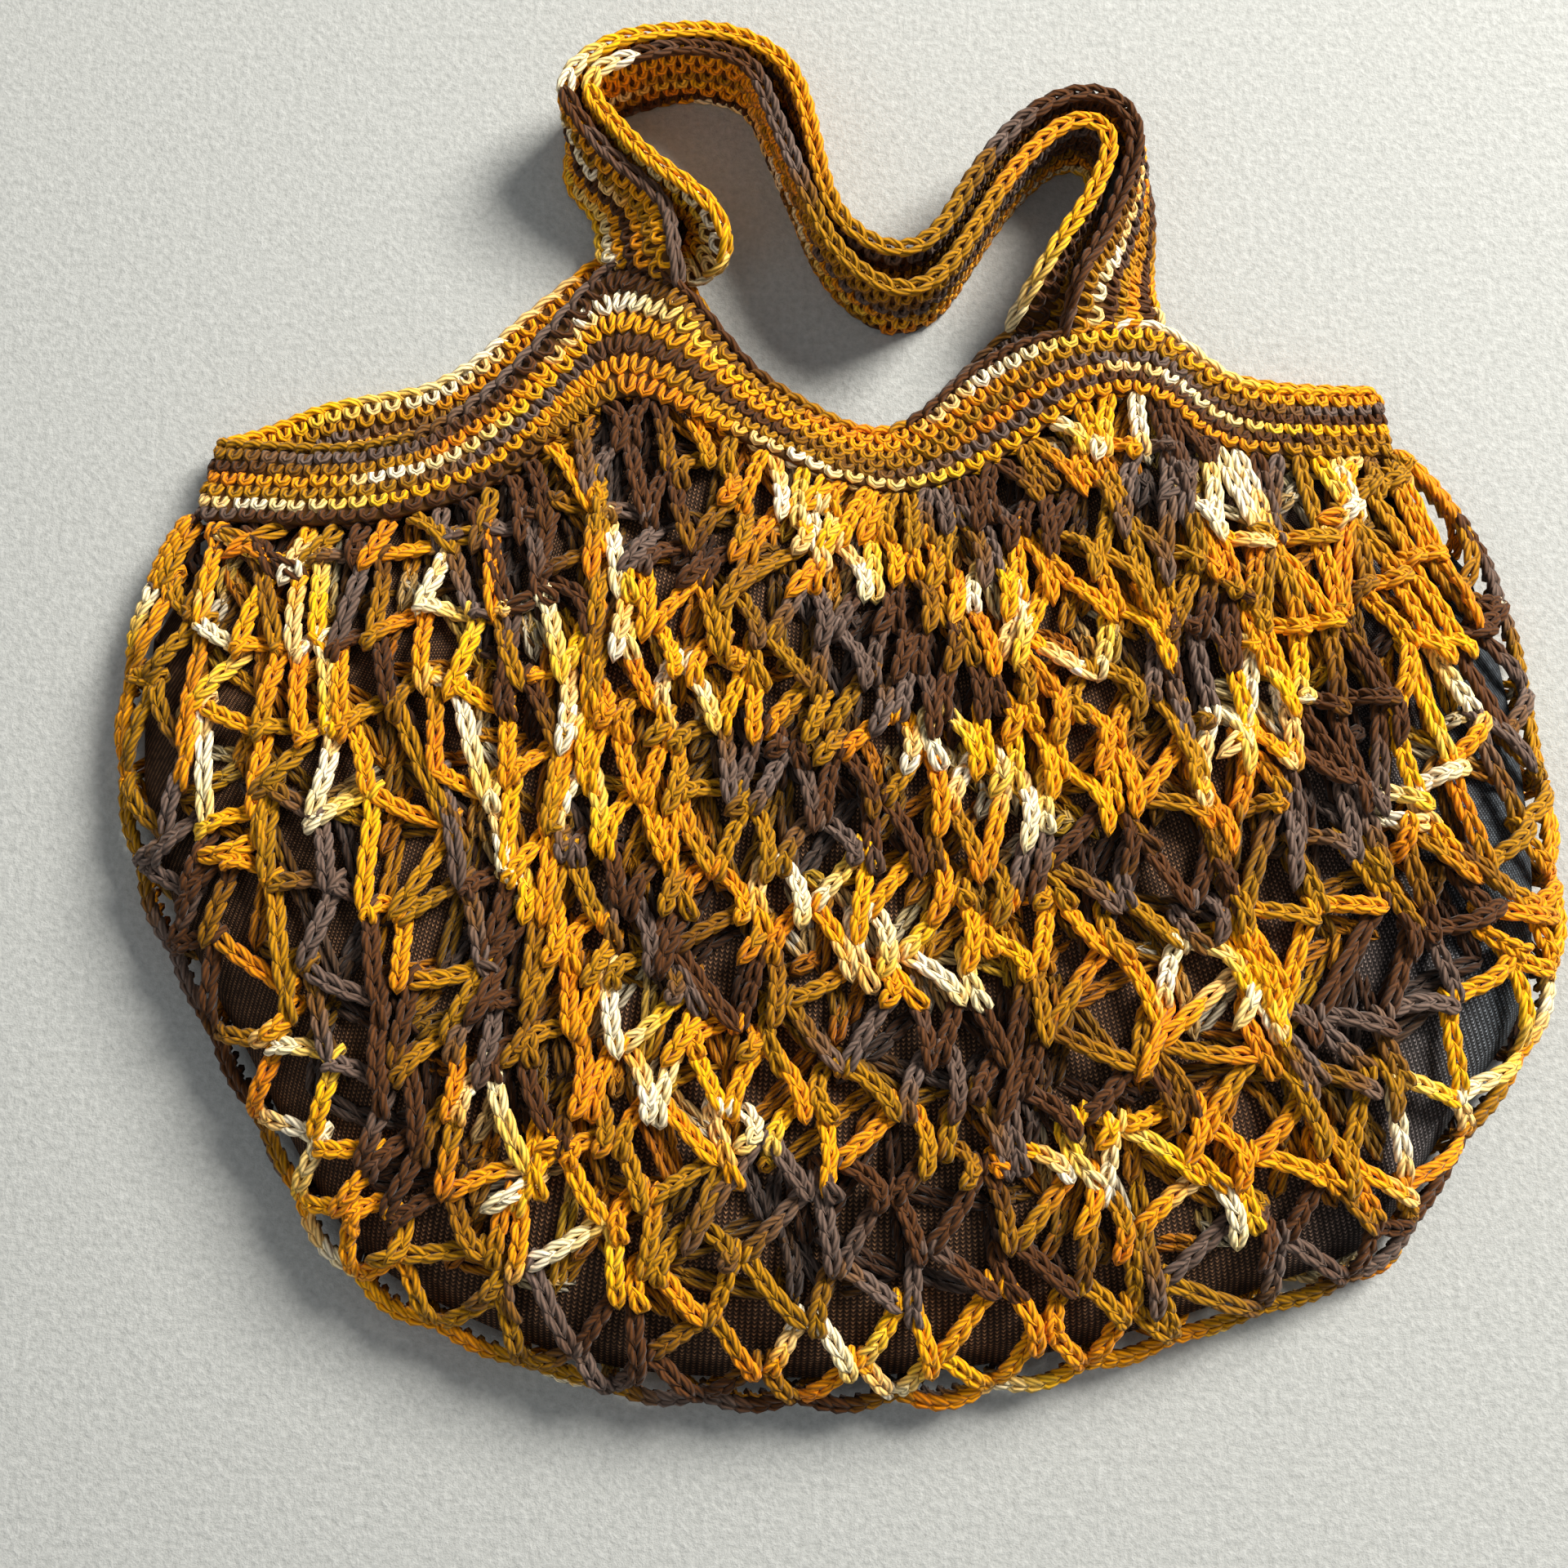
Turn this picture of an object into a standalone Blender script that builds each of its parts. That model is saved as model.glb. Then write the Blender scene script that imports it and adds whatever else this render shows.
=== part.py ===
"""Crocheted net bag with two straps, lying on its back.

Metres, +Z up. +X is to the right across the bag, +Y runs from the bottom fold to the straps.
Every wall is drawn as a middle surface first, which then gets half its thickness on each side.
"""

import math

import bmesh
import bpy
import numpy as np
from mathutils import Vector

# Bag body
BAG_WIDTH = 0.441
BAG_DEPTH = 0.272
CROWN_HEIGHT = 0.040
FOLD_HEIGHT = 0.011
FOLD_ROUNDING = 0.080
UNDERSIDE_ROUNDING = 0.013
RIM_BLEND = 0.070

# Net
NET_WALL = 0.0045
STRAND_WIDTH = 0.0047
OPEN_PITCH = 0.0150
SMALLEST_PITCH = 0.0100
COLUMNS = 28
ROWS = 10
OPEN_ROWS_FRONT = 2
OPEN_ROWS_BACK = 0

# Rim band and straps
RIM_WIDTH = 0.022
RIM_HEIGHT = 0.028
BAND_WALL = 0.005
BAND_EDGE_THINNING = 0.50
BAND_GROOVE_THINNING = 0.28
RIM_ROWS = 5
STRAP_ROWS = 4
STRAP_WIDTH = 0.030
STRAP_RISE = 0.085
STRAP_STEPS = 2

# Lining
LINING_WALL = 0.0012
LINING_GAP = 0.0009
LINING_SLACK = 0.0022
SLACK_ROWS = 2

# Gap kept between pieces that meet
CLEARANCE = 0.0003

# Largest share of a column's length that its first row may take
LONGEST_FIRST_ROW = 0.999
# Share of a column's length after which the net on the underside rises to the rim
UNDERSIDE_RISE = 0.9
# Edges sharper than this, in degrees, stay sharp
SHARP_EDGE = 35

BACK_LEVEL = NET_WALL / 2
BAND_LEVEL = BAND_WALL / 2

# The fold all round the bag, from the left end of the rim by the bottom to the right end.
# column; across as a share of BAG_WIDTH; up as a share of BAG_DEPTH; crown as a share of CROWN_HEIGHT
FOLD_LINE = (
    (0.0, -0.487, 0.906, 0.35),
    (1.0, -0.498, 0.800, 0.55),
    (2.0, -0.499, 0.684, 0.70),
    (3.2, -0.480, 0.562, 0.80),
    (5.4, -0.415, 0.360, 0.88),
    (8.2, -0.314, 0.119, 0.92),
    (9.5, -0.240, 0.057, 0.94),
    (10.9, -0.157, 0.014, 0.96),
    (12.6, -0.052, 0.001, 0.98),
    (14.9, 0.098, 0.014, 1.00),
    (18.2, 0.299, 0.101, 0.98),
    (19.4, 0.367, 0.145, 0.95),
    (21.1, 0.433, 0.287, 0.92),
    (22.5, 0.488, 0.414, 0.88),
    (23.8, 0.500, 0.543, 0.82),
    (25.8, 0.492, 0.761, 0.68),
    (27.0, 0.476, 0.886, 0.50),
    (28.0, 0.450, 0.985, 0.35),
)

# Lower edge of the rim band. column; across as a share of BAG_WIDTH; up as a share of BAG_DEPTH;
# lift as a share of RIM_HEIGHT; then the way to the upper edge, as shares of RIM_WIDTH
FRONT_RIM = (
    (0.0, -0.464, 0.983, 0.43, 0.30, 1.13, 0.00),
    (3.3, -0.328, 0.965, 0.93, -0.10, 1.17, -0.27),
    (5.7, -0.242, 1.005, 0.96, -0.55, 1.13, -0.32),
    (7.6, -0.185, 1.079, 0.93, -0.45, 1.30, -0.36),
    (9.0, -0.145, 1.119, 0.89, -0.10, 1.50, -0.30),
    (10.7, -0.081, 1.071, 1.00, 0.22, 1.07, -0.27),
    (14.0, 0.037, 0.999, 1.00, -0.03, 0.92, -0.36),
    (17.1, 0.120, 1.038, 1.00, -0.29, 1.45, -0.32),
    (20.0, 0.188, 1.115, 0.96, -0.42, 0.95, -0.14),
    (21.3, 0.225, 1.117, 0.96, 0.18, 1.14, -0.27),
    (23.2, 0.265, 1.059, 0.93, 0.33, 1.03, -0.27),
    (25.7, 0.336, 1.045, 0.86, 0.12, 1.01, -0.27),
    (28.0, 0.410, 1.062, 0.43, -0.19, 0.94, 0.00),
)
BACK_RIM = (
    (0.0, -0.464, 0.983, 0.43, 0.30, 1.13, 0.00),
    (1.5, -0.410, 1.010, 0.09, -0.10, 1.10, 0.00),
    (3.0, -0.353, 1.048, 0.09, -0.43, 1.02, 0.00),
    (5.5, -0.262, 1.085, 0.09, -0.32, 1.00, 0.00),
    (7.0, -0.212, 1.151, 0.09, -0.36, 1.08, 0.00),
    (9.0, -0.146, 1.200, 0.09, 0.10, 1.45, 0.10),
    (11.5, -0.085, 1.100, 0.09, 0.20, 1.10, 0.00),
    (14.5, 0.037, 0.956, 0.09, 0.00, 0.96, 0.00),
    (17.5, 0.105, 1.070, 0.09, -0.33, 1.12, 0.00),
    (20.0, 0.174, 1.132, 0.09, -0.10, 1.05, 0.15),
    (23.5, 0.260, 1.096, 0.09, -0.31, 1.12, 0.00),
    (26.0, 0.328, 1.077, 0.09, 0.02, 0.97, 0.00),
    (28.0, 0.410, 1.062, 0.43, -0.19, 0.94, 0.00),
)

# Where a strap stands on the rim. panel, side, first and last column of the foot; its centre,
# across as a share of BAG_WIDTH, up as a share of BAG_DEPTH and lift as a share of RIM_HEIGHT;
# then how its edge turns in plan and tilts, in degrees, seen from its left end
FEET = (
    ("front", "left", 8, 10, -0.135, 1.278, 0.69, -34.6, 30.5),
    ("front", "right", 20, 22, 0.201, 1.202, 0.80, 8.5, -5.7),
    ("back", "left", 8, 10, -0.134, 1.306, 0.20, -28.0, 13.5),
    ("back", "right", 19, 21, 0.163, 1.221, 0.27, 2.7, -20.0),
)

# Sections of a strap from its left foot to its right foot, between the feet themselves.
# across: share of the way between the feet; up: share of STRAP_RISE above the line between them;
# these place the edge that stands up. lean_across and lean_up: how far the other edge lies
# from it in plan, and lift: how high that edge lies, all as shares of STRAP_WIDTH
FRONT_STRAP = (
    (0.055, 0.085, -0.76, 0.10, 0.24),
    (0.030, 0.265, -0.70, 0.12, 0.08),
    (-0.085, 0.405, -0.46, 0.10, 0.00),
    (-0.152, 0.535, -0.12, 0.04, 0.00),
    (-0.176, 0.625, 0.00, 0.00, 0.00),
    (-0.149, 0.728, 0.00, 0.00, 0.00),
    (-0.072, 0.838, 0.00, 0.00, 0.00),
    (0.020, 0.898, 0.00, 0.00, 0.00),
    (0.165, 0.938, 0.00, 0.00, 0.00),
    (0.284, 0.868, 0.00, 0.00, 0.00),
    (0.337, 0.717, 0.00, 0.00, 0.00),
    (0.392, 0.341, 0.00, 0.00, 0.00),
    (0.465, 0.193, 0.00, 0.00, 0.00),
    (0.557, 0.168, 0.00, 0.00, 0.00),
    (0.632, 0.272, 0.00, 0.00, 0.00),
    (0.701, 0.485, 0.00, 0.00, 0.00),
    (0.789, 0.704, 0.00, 0.00, 0.00),
    (0.901, 0.859, 0.00, 0.00, 0.00),
    (1.004, 0.875, 0.08, -0.06, 0.00),
    (1.053, 0.751, 0.20, -0.02, 0.00),
    (1.030, 0.562, 0.40, 0.00, 0.00),
    (0.978, 0.323, 0.60, 0.00, 0.10),
    (0.926, 0.150, 0.80, 0.02, 0.36),
)
BACK_STRAP = (
    (0.177, 0.005, -0.80, 0.30, 0.00),
    (0.185, 0.105, -0.55, 0.15, 0.00),
    (0.139, 0.186, -0.25, 0.05, 0.00),
    (0.006, 0.308, 0.00, 0.00, 0.00),
    (-0.085, 0.430, 0.00, 0.00, 0.00),
    (-0.138, 0.520, 0.00, 0.00, 0.00),
    (-0.129, 0.608, 0.00, 0.00, 0.00),
    (-0.052, 0.685, 0.00, 0.00, 0.00),
    (0.080, 0.768, 0.00, 0.00, 0.00),
    (0.206, 0.772, 0.00, 0.00, 0.00),
    (0.266, 0.710, 0.00, 0.00, 0.00),
    (0.302, 0.580, 0.00, 0.00, 0.00),
    (0.392, 0.262, 0.00, 0.00, 0.00),
    (0.436, 0.120, 0.00, 0.00, 0.00),
    (0.514, 0.000, 0.00, 0.00, 0.00),
    (0.618, -0.046, 0.00, 0.00, 0.00),
    (0.720, 0.064, 0.00, 0.00, 0.00),
    (0.854, 0.414, 0.00, 0.00, 0.00),
    (0.929, 0.580, 0.00, 0.00, 0.00),
    (1.017, 0.717, 0.00, 0.00, 0.00),
    (1.095, 0.745, 0.00, 0.00, 0.00),
    (1.123, 0.660, 0.02, 0.00, 0.00),
    (1.077, 0.455, 0.10, 0.00, 0.00),
    (1.001, 0.260, 0.30, 0.00, 0.00),
    (0.932, 0.070, 0.70, 0.02, 0.00),
)


def clear_scene():
    for old in list(bpy.data.objects):
        bpy.data.objects.remove(old, do_unlink=True)


def unit(vector):
    return vector / max(np.linalg.norm(vector), 1e-12)


def smoothstep(share):
    share = min(max(share, 0.0), 1.0)
    return share * share * (3 - 2 * share)


def read_table(table, column):
    """The row of a table at any column, on a smooth curve through its rows."""
    rows = np.array(table, dtype=float)
    keys, values = rows[:, 0], rows[:, 1:]
    slopes = np.gradient(values, keys, axis=0)
    i = int(np.clip(np.searchsorted(keys, column) - 1, 0, len(keys) - 2))
    span = keys[i + 1] - keys[i]
    t = (column - keys[i]) / span
    return (
        (2 * t**3 - 3 * t**2 + 1) * values[i]
        + (t**3 - 2 * t**2 + t) * span * slopes[i]
        + (3 * t**2 - 2 * t**3) * values[i + 1]
        + (t**3 - t**2) * span * slopes[i + 1]
    )


def smooth_line(points, steps):
    """Points on a smooth curve through the given ones, with steps between each two."""
    keys = np.arange(len(points), dtype=float)
    table = np.column_stack([keys, points])
    count = (len(points) - 1) * steps
    return np.array([read_table(table, i / steps) for i in range(count + 1)])


# Body of the bag


def fold_point(column):
    across, up, _ = read_table(FOLD_LINE, column)
    return np.array([across * BAG_WIDTH, up * BAG_DEPTH, FOLD_HEIGHT])


def rim_lower(panel, column):
    """Lower edge of the rim band, where the net ends."""
    across, up, lift = read_table(FRONT_RIM if panel == "front" else BACK_RIM, column)[:3]
    level = max(lift * RIM_HEIGHT, BAND_LEVEL)
    return np.array([across * BAG_WIDTH, up * BAG_DEPTH, level])


def body_point(panel, column, row):
    """Middle of the net's wall. Row 0 is the fold and row ROWS the rim."""
    fold = fold_point(column)
    rim = rim_lower(panel, column)
    length = np.linalg.norm((rim - fold)[:2])
    first = min(OPEN_PITCH / length, LONGEST_FIRST_ROW)
    power = min(math.log(1 - first) / math.log(1 - 1 / ROWS), 1.0)
    share = 1 - (1 - row / ROWS) ** power
    point = fold + (rim - fold) * share
    if column in (0, COLUMNS) or row in (0, ROWS):
        return point
    inward = share * length
    blend = smoothstep((inward - length + RIM_BLEND) / RIM_BLEND) if length > RIM_BLEND else share
    if panel == "front":
        crown = max(read_table(FOLD_LINE, column)[2] * CROWN_HEIGHT, rim[2])
        arch = math.sqrt(1 - (1 - min(inward / min(FOLD_ROUNDING, length), 1)) ** 2)
        free = FOLD_HEIGHT + (crown - FOLD_HEIGHT) * arch
    else:
        arch = math.sqrt(1 - (1 - min(inward / UNDERSIDE_ROUNDING, 1)) ** 2)
        free = FOLD_HEIGHT + (BACK_LEVEL - FOLD_HEIGHT) * arch
        if rim[2] <= BACK_LEVEL + NET_WALL:
            blend = smoothstep((row / ROWS - UNDERSIDE_RISE) / (1 - UNDERSIDE_RISE))
    point[2] = free + (rim[2] - free) * blend
    return point


def net_cells():
    """Points of the diamond net and its cells, each as (row, column, corners). The column of
    a cell that wraps round the bag's left or right end is -1."""
    points = {}
    half_columns = 2 * COLUMNS

    def corner(panel, half, row):
        shared = row == 0 or half in (0, half_columns)
        key = ("both" if shared else panel, half, row)
        if key not in points:
            points[key] = body_point(panel, half / 2, row)
        return key

    cells = []
    for half in range(1, half_columns, 2):
        ring = [
            corner("front", half - 1, 0),
            corner("back", half, 1),
            corner("front", half + 1, 0),
            corner("front", half, 1),
        ]
        cells.append((0, half / 2, ring))
    for row in range(1, ROWS + 1):
        for half in range((row + 1) % 2, half_columns + 1, 2):
            if half in (0, half_columns):
                ring = [
                    corner("front", half, row + 1),
                    corner("back", abs(half - 1), row),
                    corner("front", half, row - 1),
                    corner("front", abs(half - 1), row),
                ]
                cells.append((0, -1, ring if half == 0 else ring[:1] + ring[:0:-1]))
                continue
            for panel in ("front", "back"):
                ring = [
                    corner(panel, half - 1, row),
                    corner(panel, half, row - 1),
                    corner(panel, half + 1, row),
                ]
                if row < ROWS:
                    ring.append(corner(panel, half, row + 1))
                signed = row if panel == "front" else -row
                facing = ring if panel == "front" else ring[:1] + ring[:0:-1]
                cells.append((signed, half / 2, facing))
    return points, cells


def is_open(row, column, corners):
    """True for a cell of the net that is cut through: a large one near the fold."""
    if column < 0 or not -OPEN_ROWS_BACK <= row <= OPEN_ROWS_FRONT:
        return False
    sides = [np.linalg.norm(corners[i] - corners[i - 2]) for i in range(2)]
    return min(sides) > 2 * SMALLEST_PITCH


def cell_parts(row, column, ring):
    """A cell as (panel, corners). One that wraps round the fold or round an end of the bag is
    halved there."""
    if row and column >= 0:
        return [("front" if row > 0 else "back", ring)]
    parts = []
    for part in ([ring[0], ring[1], ring[2]], [ring[0], ring[2], ring[3]]):
        on_back = any(key[0] == "back" for key in part)
        parts.append(("back" if on_back else "front", part))
    return parts


def lattice_mesh():
    """The whole net's middle surface as a bmesh, with no gaps in it."""
    points, cells = net_cells()
    bm = bmesh.new()
    verts = {key: bm.verts.new(point) for key, point in points.items()}
    for _, column, ring in cells:
        face = bm.faces.new([verts[key] for key in ring])
        face.tag = column < 0
    bm.normal_update()
    return bm, verts


def panel_mesh(panel):
    """The front's or the back's middle surface as a bmesh, with its gaps cut."""
    points, cells = net_cells()
    bm = bmesh.new()
    verts, gaps = {}, []
    for row, column, ring in cells:
        corners = [points[key] for key in ring]
        cut = len(ring) == 4 and is_open(row, column, corners)
        for side, part in cell_parts(row, column, ring):
            if side != panel:
                continue
            for key in part:
                if key not in verts:
                    verts[key] = bm.verts.new(points[key])
            face = bm.faces.new([verts[key] for key in part])
            if cut:
                gaps.append(face)
    bm.normal_update()
    bmesh.ops.inset_individual(bm, faces=gaps, thickness=STRAND_WIDTH / 2, use_even_offset=True)
    bmesh.ops.delete(bm, geom=gaps, context="FACES")
    bm.normal_update()
    return bm, verts


def fold_normals():
    """Level outward normals where the front and the back meet, and the rim's own at the rim."""
    bm, verts = lattice_mesh()
    found = {}
    for key, vert in verts.items():
        if key[0] == "both":
            found[key] = unit(np.array([vert.normal.x, vert.normal.y, 0.0]))
    bm.free()
    found.update(rim_normals())
    return found


def halves(ring, sunk):
    """A cell's two triangles. Sunk ones bend along the cell's height, which keeps them inside
    a rounded form, and the others bend along its width."""
    if len(ring) < 4:
        return [ring]
    if sunk:
        return [[ring[0], ring[1], ring[3]], [ring[1], ring[2], ring[3]]]
    return [[ring[0], ring[1], ring[2]], [ring[0], ring[2], ring[3]]]


def thicken(bm, verts, fixed, outside, inside, sunk, side=0):
    """A closed wall from a middle surface: outside and inside are its two distances along
    the normals, which are fixed at some of its points. With side 1 the wall stays above the
    fold and with side -1 below it."""
    normals = {}
    for vert in bm.verts:
        normals[vert] = vert.normal.copy()
    held = {verts[key]: Vector(normal) for key, normal in fixed.items() if key in verts}
    normals.update(held)
    level = FOLD_HEIGHT + side * CLEARANCE / 2

    def set_off(vert, reach):
        point = vert.co + normals[vert] * reach
        if vert not in held and (point.z - level) * side < 0:
            point.z = level
        return bm.verts.new(point)

    outer = {vert: set_off(vert, outside) for vert in normals}
    inner = {vert: set_off(vert, inside) for vert in normals}
    edges = [edge for edge in bm.edges if edge.is_boundary]
    faces = list(bm.faces)
    walls = []
    for edge in edges:
        loop = edge.link_loops[0]
        walls.append((loop.vert, loop.link_loop_next.vert))
    for face in faces:
        for ring in halves(list(face.verts), sunk and not face.tag):
            bm.faces.new([outer[vert] for vert in ring])
            bm.faces.new([inner[vert] for vert in reversed(ring)])
    for first, second in walls:
        bm.faces.new([outer[second], outer[first], inner[first], inner[second]])
    bmesh.ops.delete(bm, geom=list(normals), context="VERTS")
    return bm


# Rim band


def foot_of(panel, side):
    """The two ends of the rim's edge under a strap, outer one first, and the way up from it."""
    row = next(foot for foot in FEET if foot[:2] == (panel, side))
    _, _, first, last, across, up, lift, turn, tilt = row
    centre = np.array([across * BAG_WIDTH, up * BAG_DEPTH, lift * RIM_HEIGHT])
    turn, tilt = math.radians(turn), math.radians(tilt)
    along = np.array([math.cos(turn) * math.cos(tilt), math.sin(turn) * math.cos(tilt), math.sin(tilt)])
    half = along * STRAP_WIDTH / 2
    low = min(centre[2] - abs(half[2]) - BAND_LEVEL, 0.0)
    centre[2] -= low
    middle = (first + last) / 2
    rise = centre - rim_lower(panel, middle)
    away = unit(rise - along * rise.dot(along))
    return {
        "columns": (first, middle, last),
        "edge": (centre - half, centre, centre + half),
        "away": away,
        "normal": unit(np.cross(along, away)),
    }


FEET_BY_PANEL = {
    panel: [foot_of(panel, side) for side in ("left", "right")] for panel in ("front", "back")
}


def rim_upper(panel, column):
    """Upper edge of the rim band. Under a strap it is the strap's foot."""
    for foot in FEET_BY_PANEL[panel]:
        if column in foot["columns"]:
            return foot["edge"][foot["columns"].index(column)]
    row = read_table(FRONT_RIM if panel == "front" else BACK_RIM, column)
    upper = rim_lower(panel, column) + np.array(row[3:6]) * RIM_WIDTH
    upper[2] = max(upper[2], BAND_LEVEL)
    return upper


def rim_stations():
    """(panel, column) all round the rim: the front from left to right, then the back."""
    front = [("front", column) for column in range(COLUMNS + 1)]
    back = [("back", column) for column in range(COLUMNS - 1, 0, -1)]
    return front + back


def outward(panel, normal):
    """The normal on the outside of the bag: up on the front and down on the back."""
    up = 1 if panel == "front" else -1
    return normal if normal[2] * up > 0 else -normal


def band_normals(stations, lower, upper):
    """Outward normals of the rim band at its lower and its upper edge."""
    count = len(stations)
    centre = sum(lower) / count
    bottom, top = [], []
    for i, (panel, column) in enumerate(stations):
        rise = upper[i] - lower[i]
        for line, found in ((lower, bottom), (upper, top)):
            along = unit(line[i] - line[i - 1]) + unit(line[(i + 1) % count] - line[i])
            normal = unit(np.cross(along, rise))
            if column in (0, COLUMNS):
                normal = normal if normal[0] * (lower[i] - centre)[0] > 0 else -normal
            else:
                normal = outward(panel, normal)
            found.append(normal)
        for foot in FEET_BY_PANEL[panel]:
            if column in foot["columns"]:
                top[i] = outward(panel, foot["normal"])
    return bottom, top


def row_profile(rows):
    """(share of the width, half thickness) along one face of a band of plump rows."""
    points = []
    for i in range(2 * rows + 1):
        thin = 0.0 if i % 2 else BAND_GROOVE_THINNING
        if i in (0, 2 * rows):
            thin = BAND_EDGE_THINNING
        points.append((i / (2 * rows), BAND_WALL / 2 * (1 - thin)))
    return points


def band_section(low, high, low_normal, high_normal, rows):
    """Points round a band's section, up its outer face and down its inner one."""
    outer, inner = [], []
    for share, half in row_profile(rows):
        middle = low + (high - low) * share
        normal = unit(low_normal + (high_normal - low_normal) * share)
        outer.append(middle + normal * half)
        inner.append(middle - normal * half)
    return outer + inner[::-1]


def loft(bm, sections, closed):
    """Faces between sections of the same number of points. An open loft gets end caps."""
    rings = [[bm.verts.new(point) for point in section] for section in sections]
    count = len(rings[0])
    last = len(rings) if closed else len(rings) - 1
    for i in range(last):
        ring, following = rings[i], rings[(i + 1) % len(rings)]
        for j in range(count):
            k = (j + 1) % count
            bm.faces.new([ring[j], ring[k], following[k], following[j]])
    if not closed:
        for ring in (rings[0], rings[-1]):
            half = count // 2
            for j in range(half - 1):
                bm.faces.new([ring[j], ring[j + 1], ring[count - 2 - j], ring[count - 1 - j]])
    bmesh.ops.recalc_face_normals(bm, faces=list(bm.faces))


def rim_geometry():
    stations = rim_stations()
    lower = [rim_lower(panel, column) for panel, column in stations]
    upper = [rim_upper(panel, column) for panel, column in stations]
    bottom, top = band_normals(stations, lower, upper)
    return stations, lower, upper, bottom, top


def make_rim_band():
    _, lower, upper, bottom, top = rim_geometry()
    sections = []
    for low, high, low_normal, high_normal in zip(lower, upper, bottom, top):
        start = low + unit(high - low) * CLEARANCE
        sections.append(band_section(start, high, low_normal, high_normal, RIM_ROWS))
    bm = bmesh.new()
    loft(bm, sections, closed=True)
    return bm


# Straps


def strap_edges(panel, table):
    """The standing edge and the other edge of a strap, from its left foot to its right."""
    left, right = FEET_BY_PANEL[panel]
    start, end = left["edge"][1], right["edge"][1]
    gap = CLEARANCE
    standing = [left["edge"][2] + left["away"] * gap]
    other = [left["edge"][0] + left["away"] * gap]
    for across, up, lean_across, lean_up, lift in table:
        place = start + (end - start) * across
        lean = np.array([lean_across, lean_up]) * STRAP_WIDTH
        flat = math.hypot(*lean) / STRAP_WIDTH
        low = lift * STRAP_WIDTH + BAND_LEVEL * flat
        high = low + STRAP_WIDTH * math.sqrt(1 - flat**2)
        x, y = place[0], place[1] + up * STRAP_RISE
        standing.append(np.array([x, y, high]))
        other.append(np.array([x + lean[0], y + lean[1], low]))
    standing.append(right["edge"][0] + right["away"] * gap)
    other.append(right["edge"][2] + right["away"] * gap)
    return smooth_line(standing, STRAP_STEPS), smooth_line(other, STRAP_STEPS)


def make_strap(panel, table):
    standing, other = strap_edges(panel, table)
    left, right = FEET_BY_PANEL[panel]
    middle = (standing + other) / 2
    travel = np.gradient(middle, axis=0)
    sections = []
    last = len(middle) - 1
    for i in range(last + 1):
        normal = unit(np.cross(travel[i], standing[i] - other[i]))
        if i == 0:
            normal = left["normal"] if left["normal"].dot(normal) > 0 else -left["normal"]
        if i == last:
            normal = right["normal"] if right["normal"].dot(normal) > 0 else -right["normal"]
        section = band_section(other[i], standing[i], normal, normal, STRAP_ROWS)
        sunk_by = min(min(point[2] for point in section), 0.0)
        sections.append([point - np.array([0.0, 0.0, sunk_by]) for point in section])
    bm = bmesh.new()
    loft(bm, sections, closed=False)
    return bm


# Net and lining


def rim_normals():
    """The direction of the net's end face at each point of the rim, shared with the band."""
    stations, _, _, bottom, _ = rim_geometry()
    found = {}
    for (panel, column), normal in zip(stations, bottom):
        shared = column in (0, COLUMNS)
        found[("both" if shared else panel, 2 * column, ROWS)] = normal
    return found


def make_net(panel):
    """The front or the back of the net, which meet in the fold and at its two ends."""
    bm, verts = panel_mesh(panel)
    side = 1 if panel == "front" else -1
    for key, vert in verts.items():
        if key[0] == "both":
            vert.co.z += side * CLEARANCE / 2
    half = NET_WALL / 2
    return thicken(bm, verts, fold_normals(), half, -half, sunk=False, side=side)


def make_lining():
    """A plain pouch inside the net, which hangs a little slack where the net folds over."""
    bm, verts = lattice_mesh()
    for (_, half, row), vert in verts.items():
        from_end = min(half, 2 * COLUMNS - half)
        if row < ROWS and (row < SLACK_ROWS or from_end < 2 * SLACK_ROWS):
            vert.co -= vert.normal * LINING_SLACK
    outside = -NET_WALL / 2 - LINING_GAP
    return thicken(bm, verts, rim_normals(), outside, outside - LINING_WALL, sunk=True)


# Objects


def material(name, colour, roughness):
    made = bpy.data.materials.new(name)
    made.use_nodes = True
    shader = made.node_tree.nodes["Principled BSDF"]
    shader.inputs["Base Color"].default_value = (*colour, 1.0)
    shader.inputs["Roughness"].default_value = roughness
    shader.inputs["Metallic"].default_value = 0.0
    return made


def add_object(name, bm, colour, roughness):
    mesh = bpy.data.meshes.new(name)
    bmesh.ops.triangulate(bm, faces=list(bm.faces), quad_method="SHORT_EDGE")
    bm.to_mesh(mesh)
    bm.free()
    mesh.materials.append(material(name, colour, roughness))
    mesh.shade_smooth()
    mesh.set_sharp_from_angle(angle=math.radians(SHARP_EDGE))
    made = bpy.data.objects.new(name, mesh)
    bpy.context.collection.objects.link(made)
    return made


def stand_on_origin(objects):
    """Moves all pieces together so that the middle of the part's underside is the origin."""
    corners = np.array([vert.co[:] for piece in objects for vert in piece.data.vertices])
    low, high = corners.min(axis=0), corners.max(axis=0)
    for piece in objects:
        piece.location = (-(low[0] + high[0]) / 2, -(low[1] + high[1]) / 2, -low[2])


def build():
    clear_scene()
    pieces = [
        add_object("net_front", make_net("front"), (0.46, 0.24, 0.05), 0.85),
        add_object("net_back", make_net("back"), (0.46, 0.24, 0.05), 0.85),
        add_object("rim_band", make_rim_band(), (0.58, 0.33, 0.09), 0.85),
        add_object("strap_front", make_strap("front", FRONT_STRAP), (0.55, 0.36, 0.15), 0.85),
        add_object("strap_back", make_strap("back", BACK_STRAP), (0.62, 0.40, 0.16), 0.85),
        add_object("lining", make_lining(), (0.035, 0.028, 0.022), 0.90),
    ]
    stand_on_origin(pieces)


build()
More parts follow.
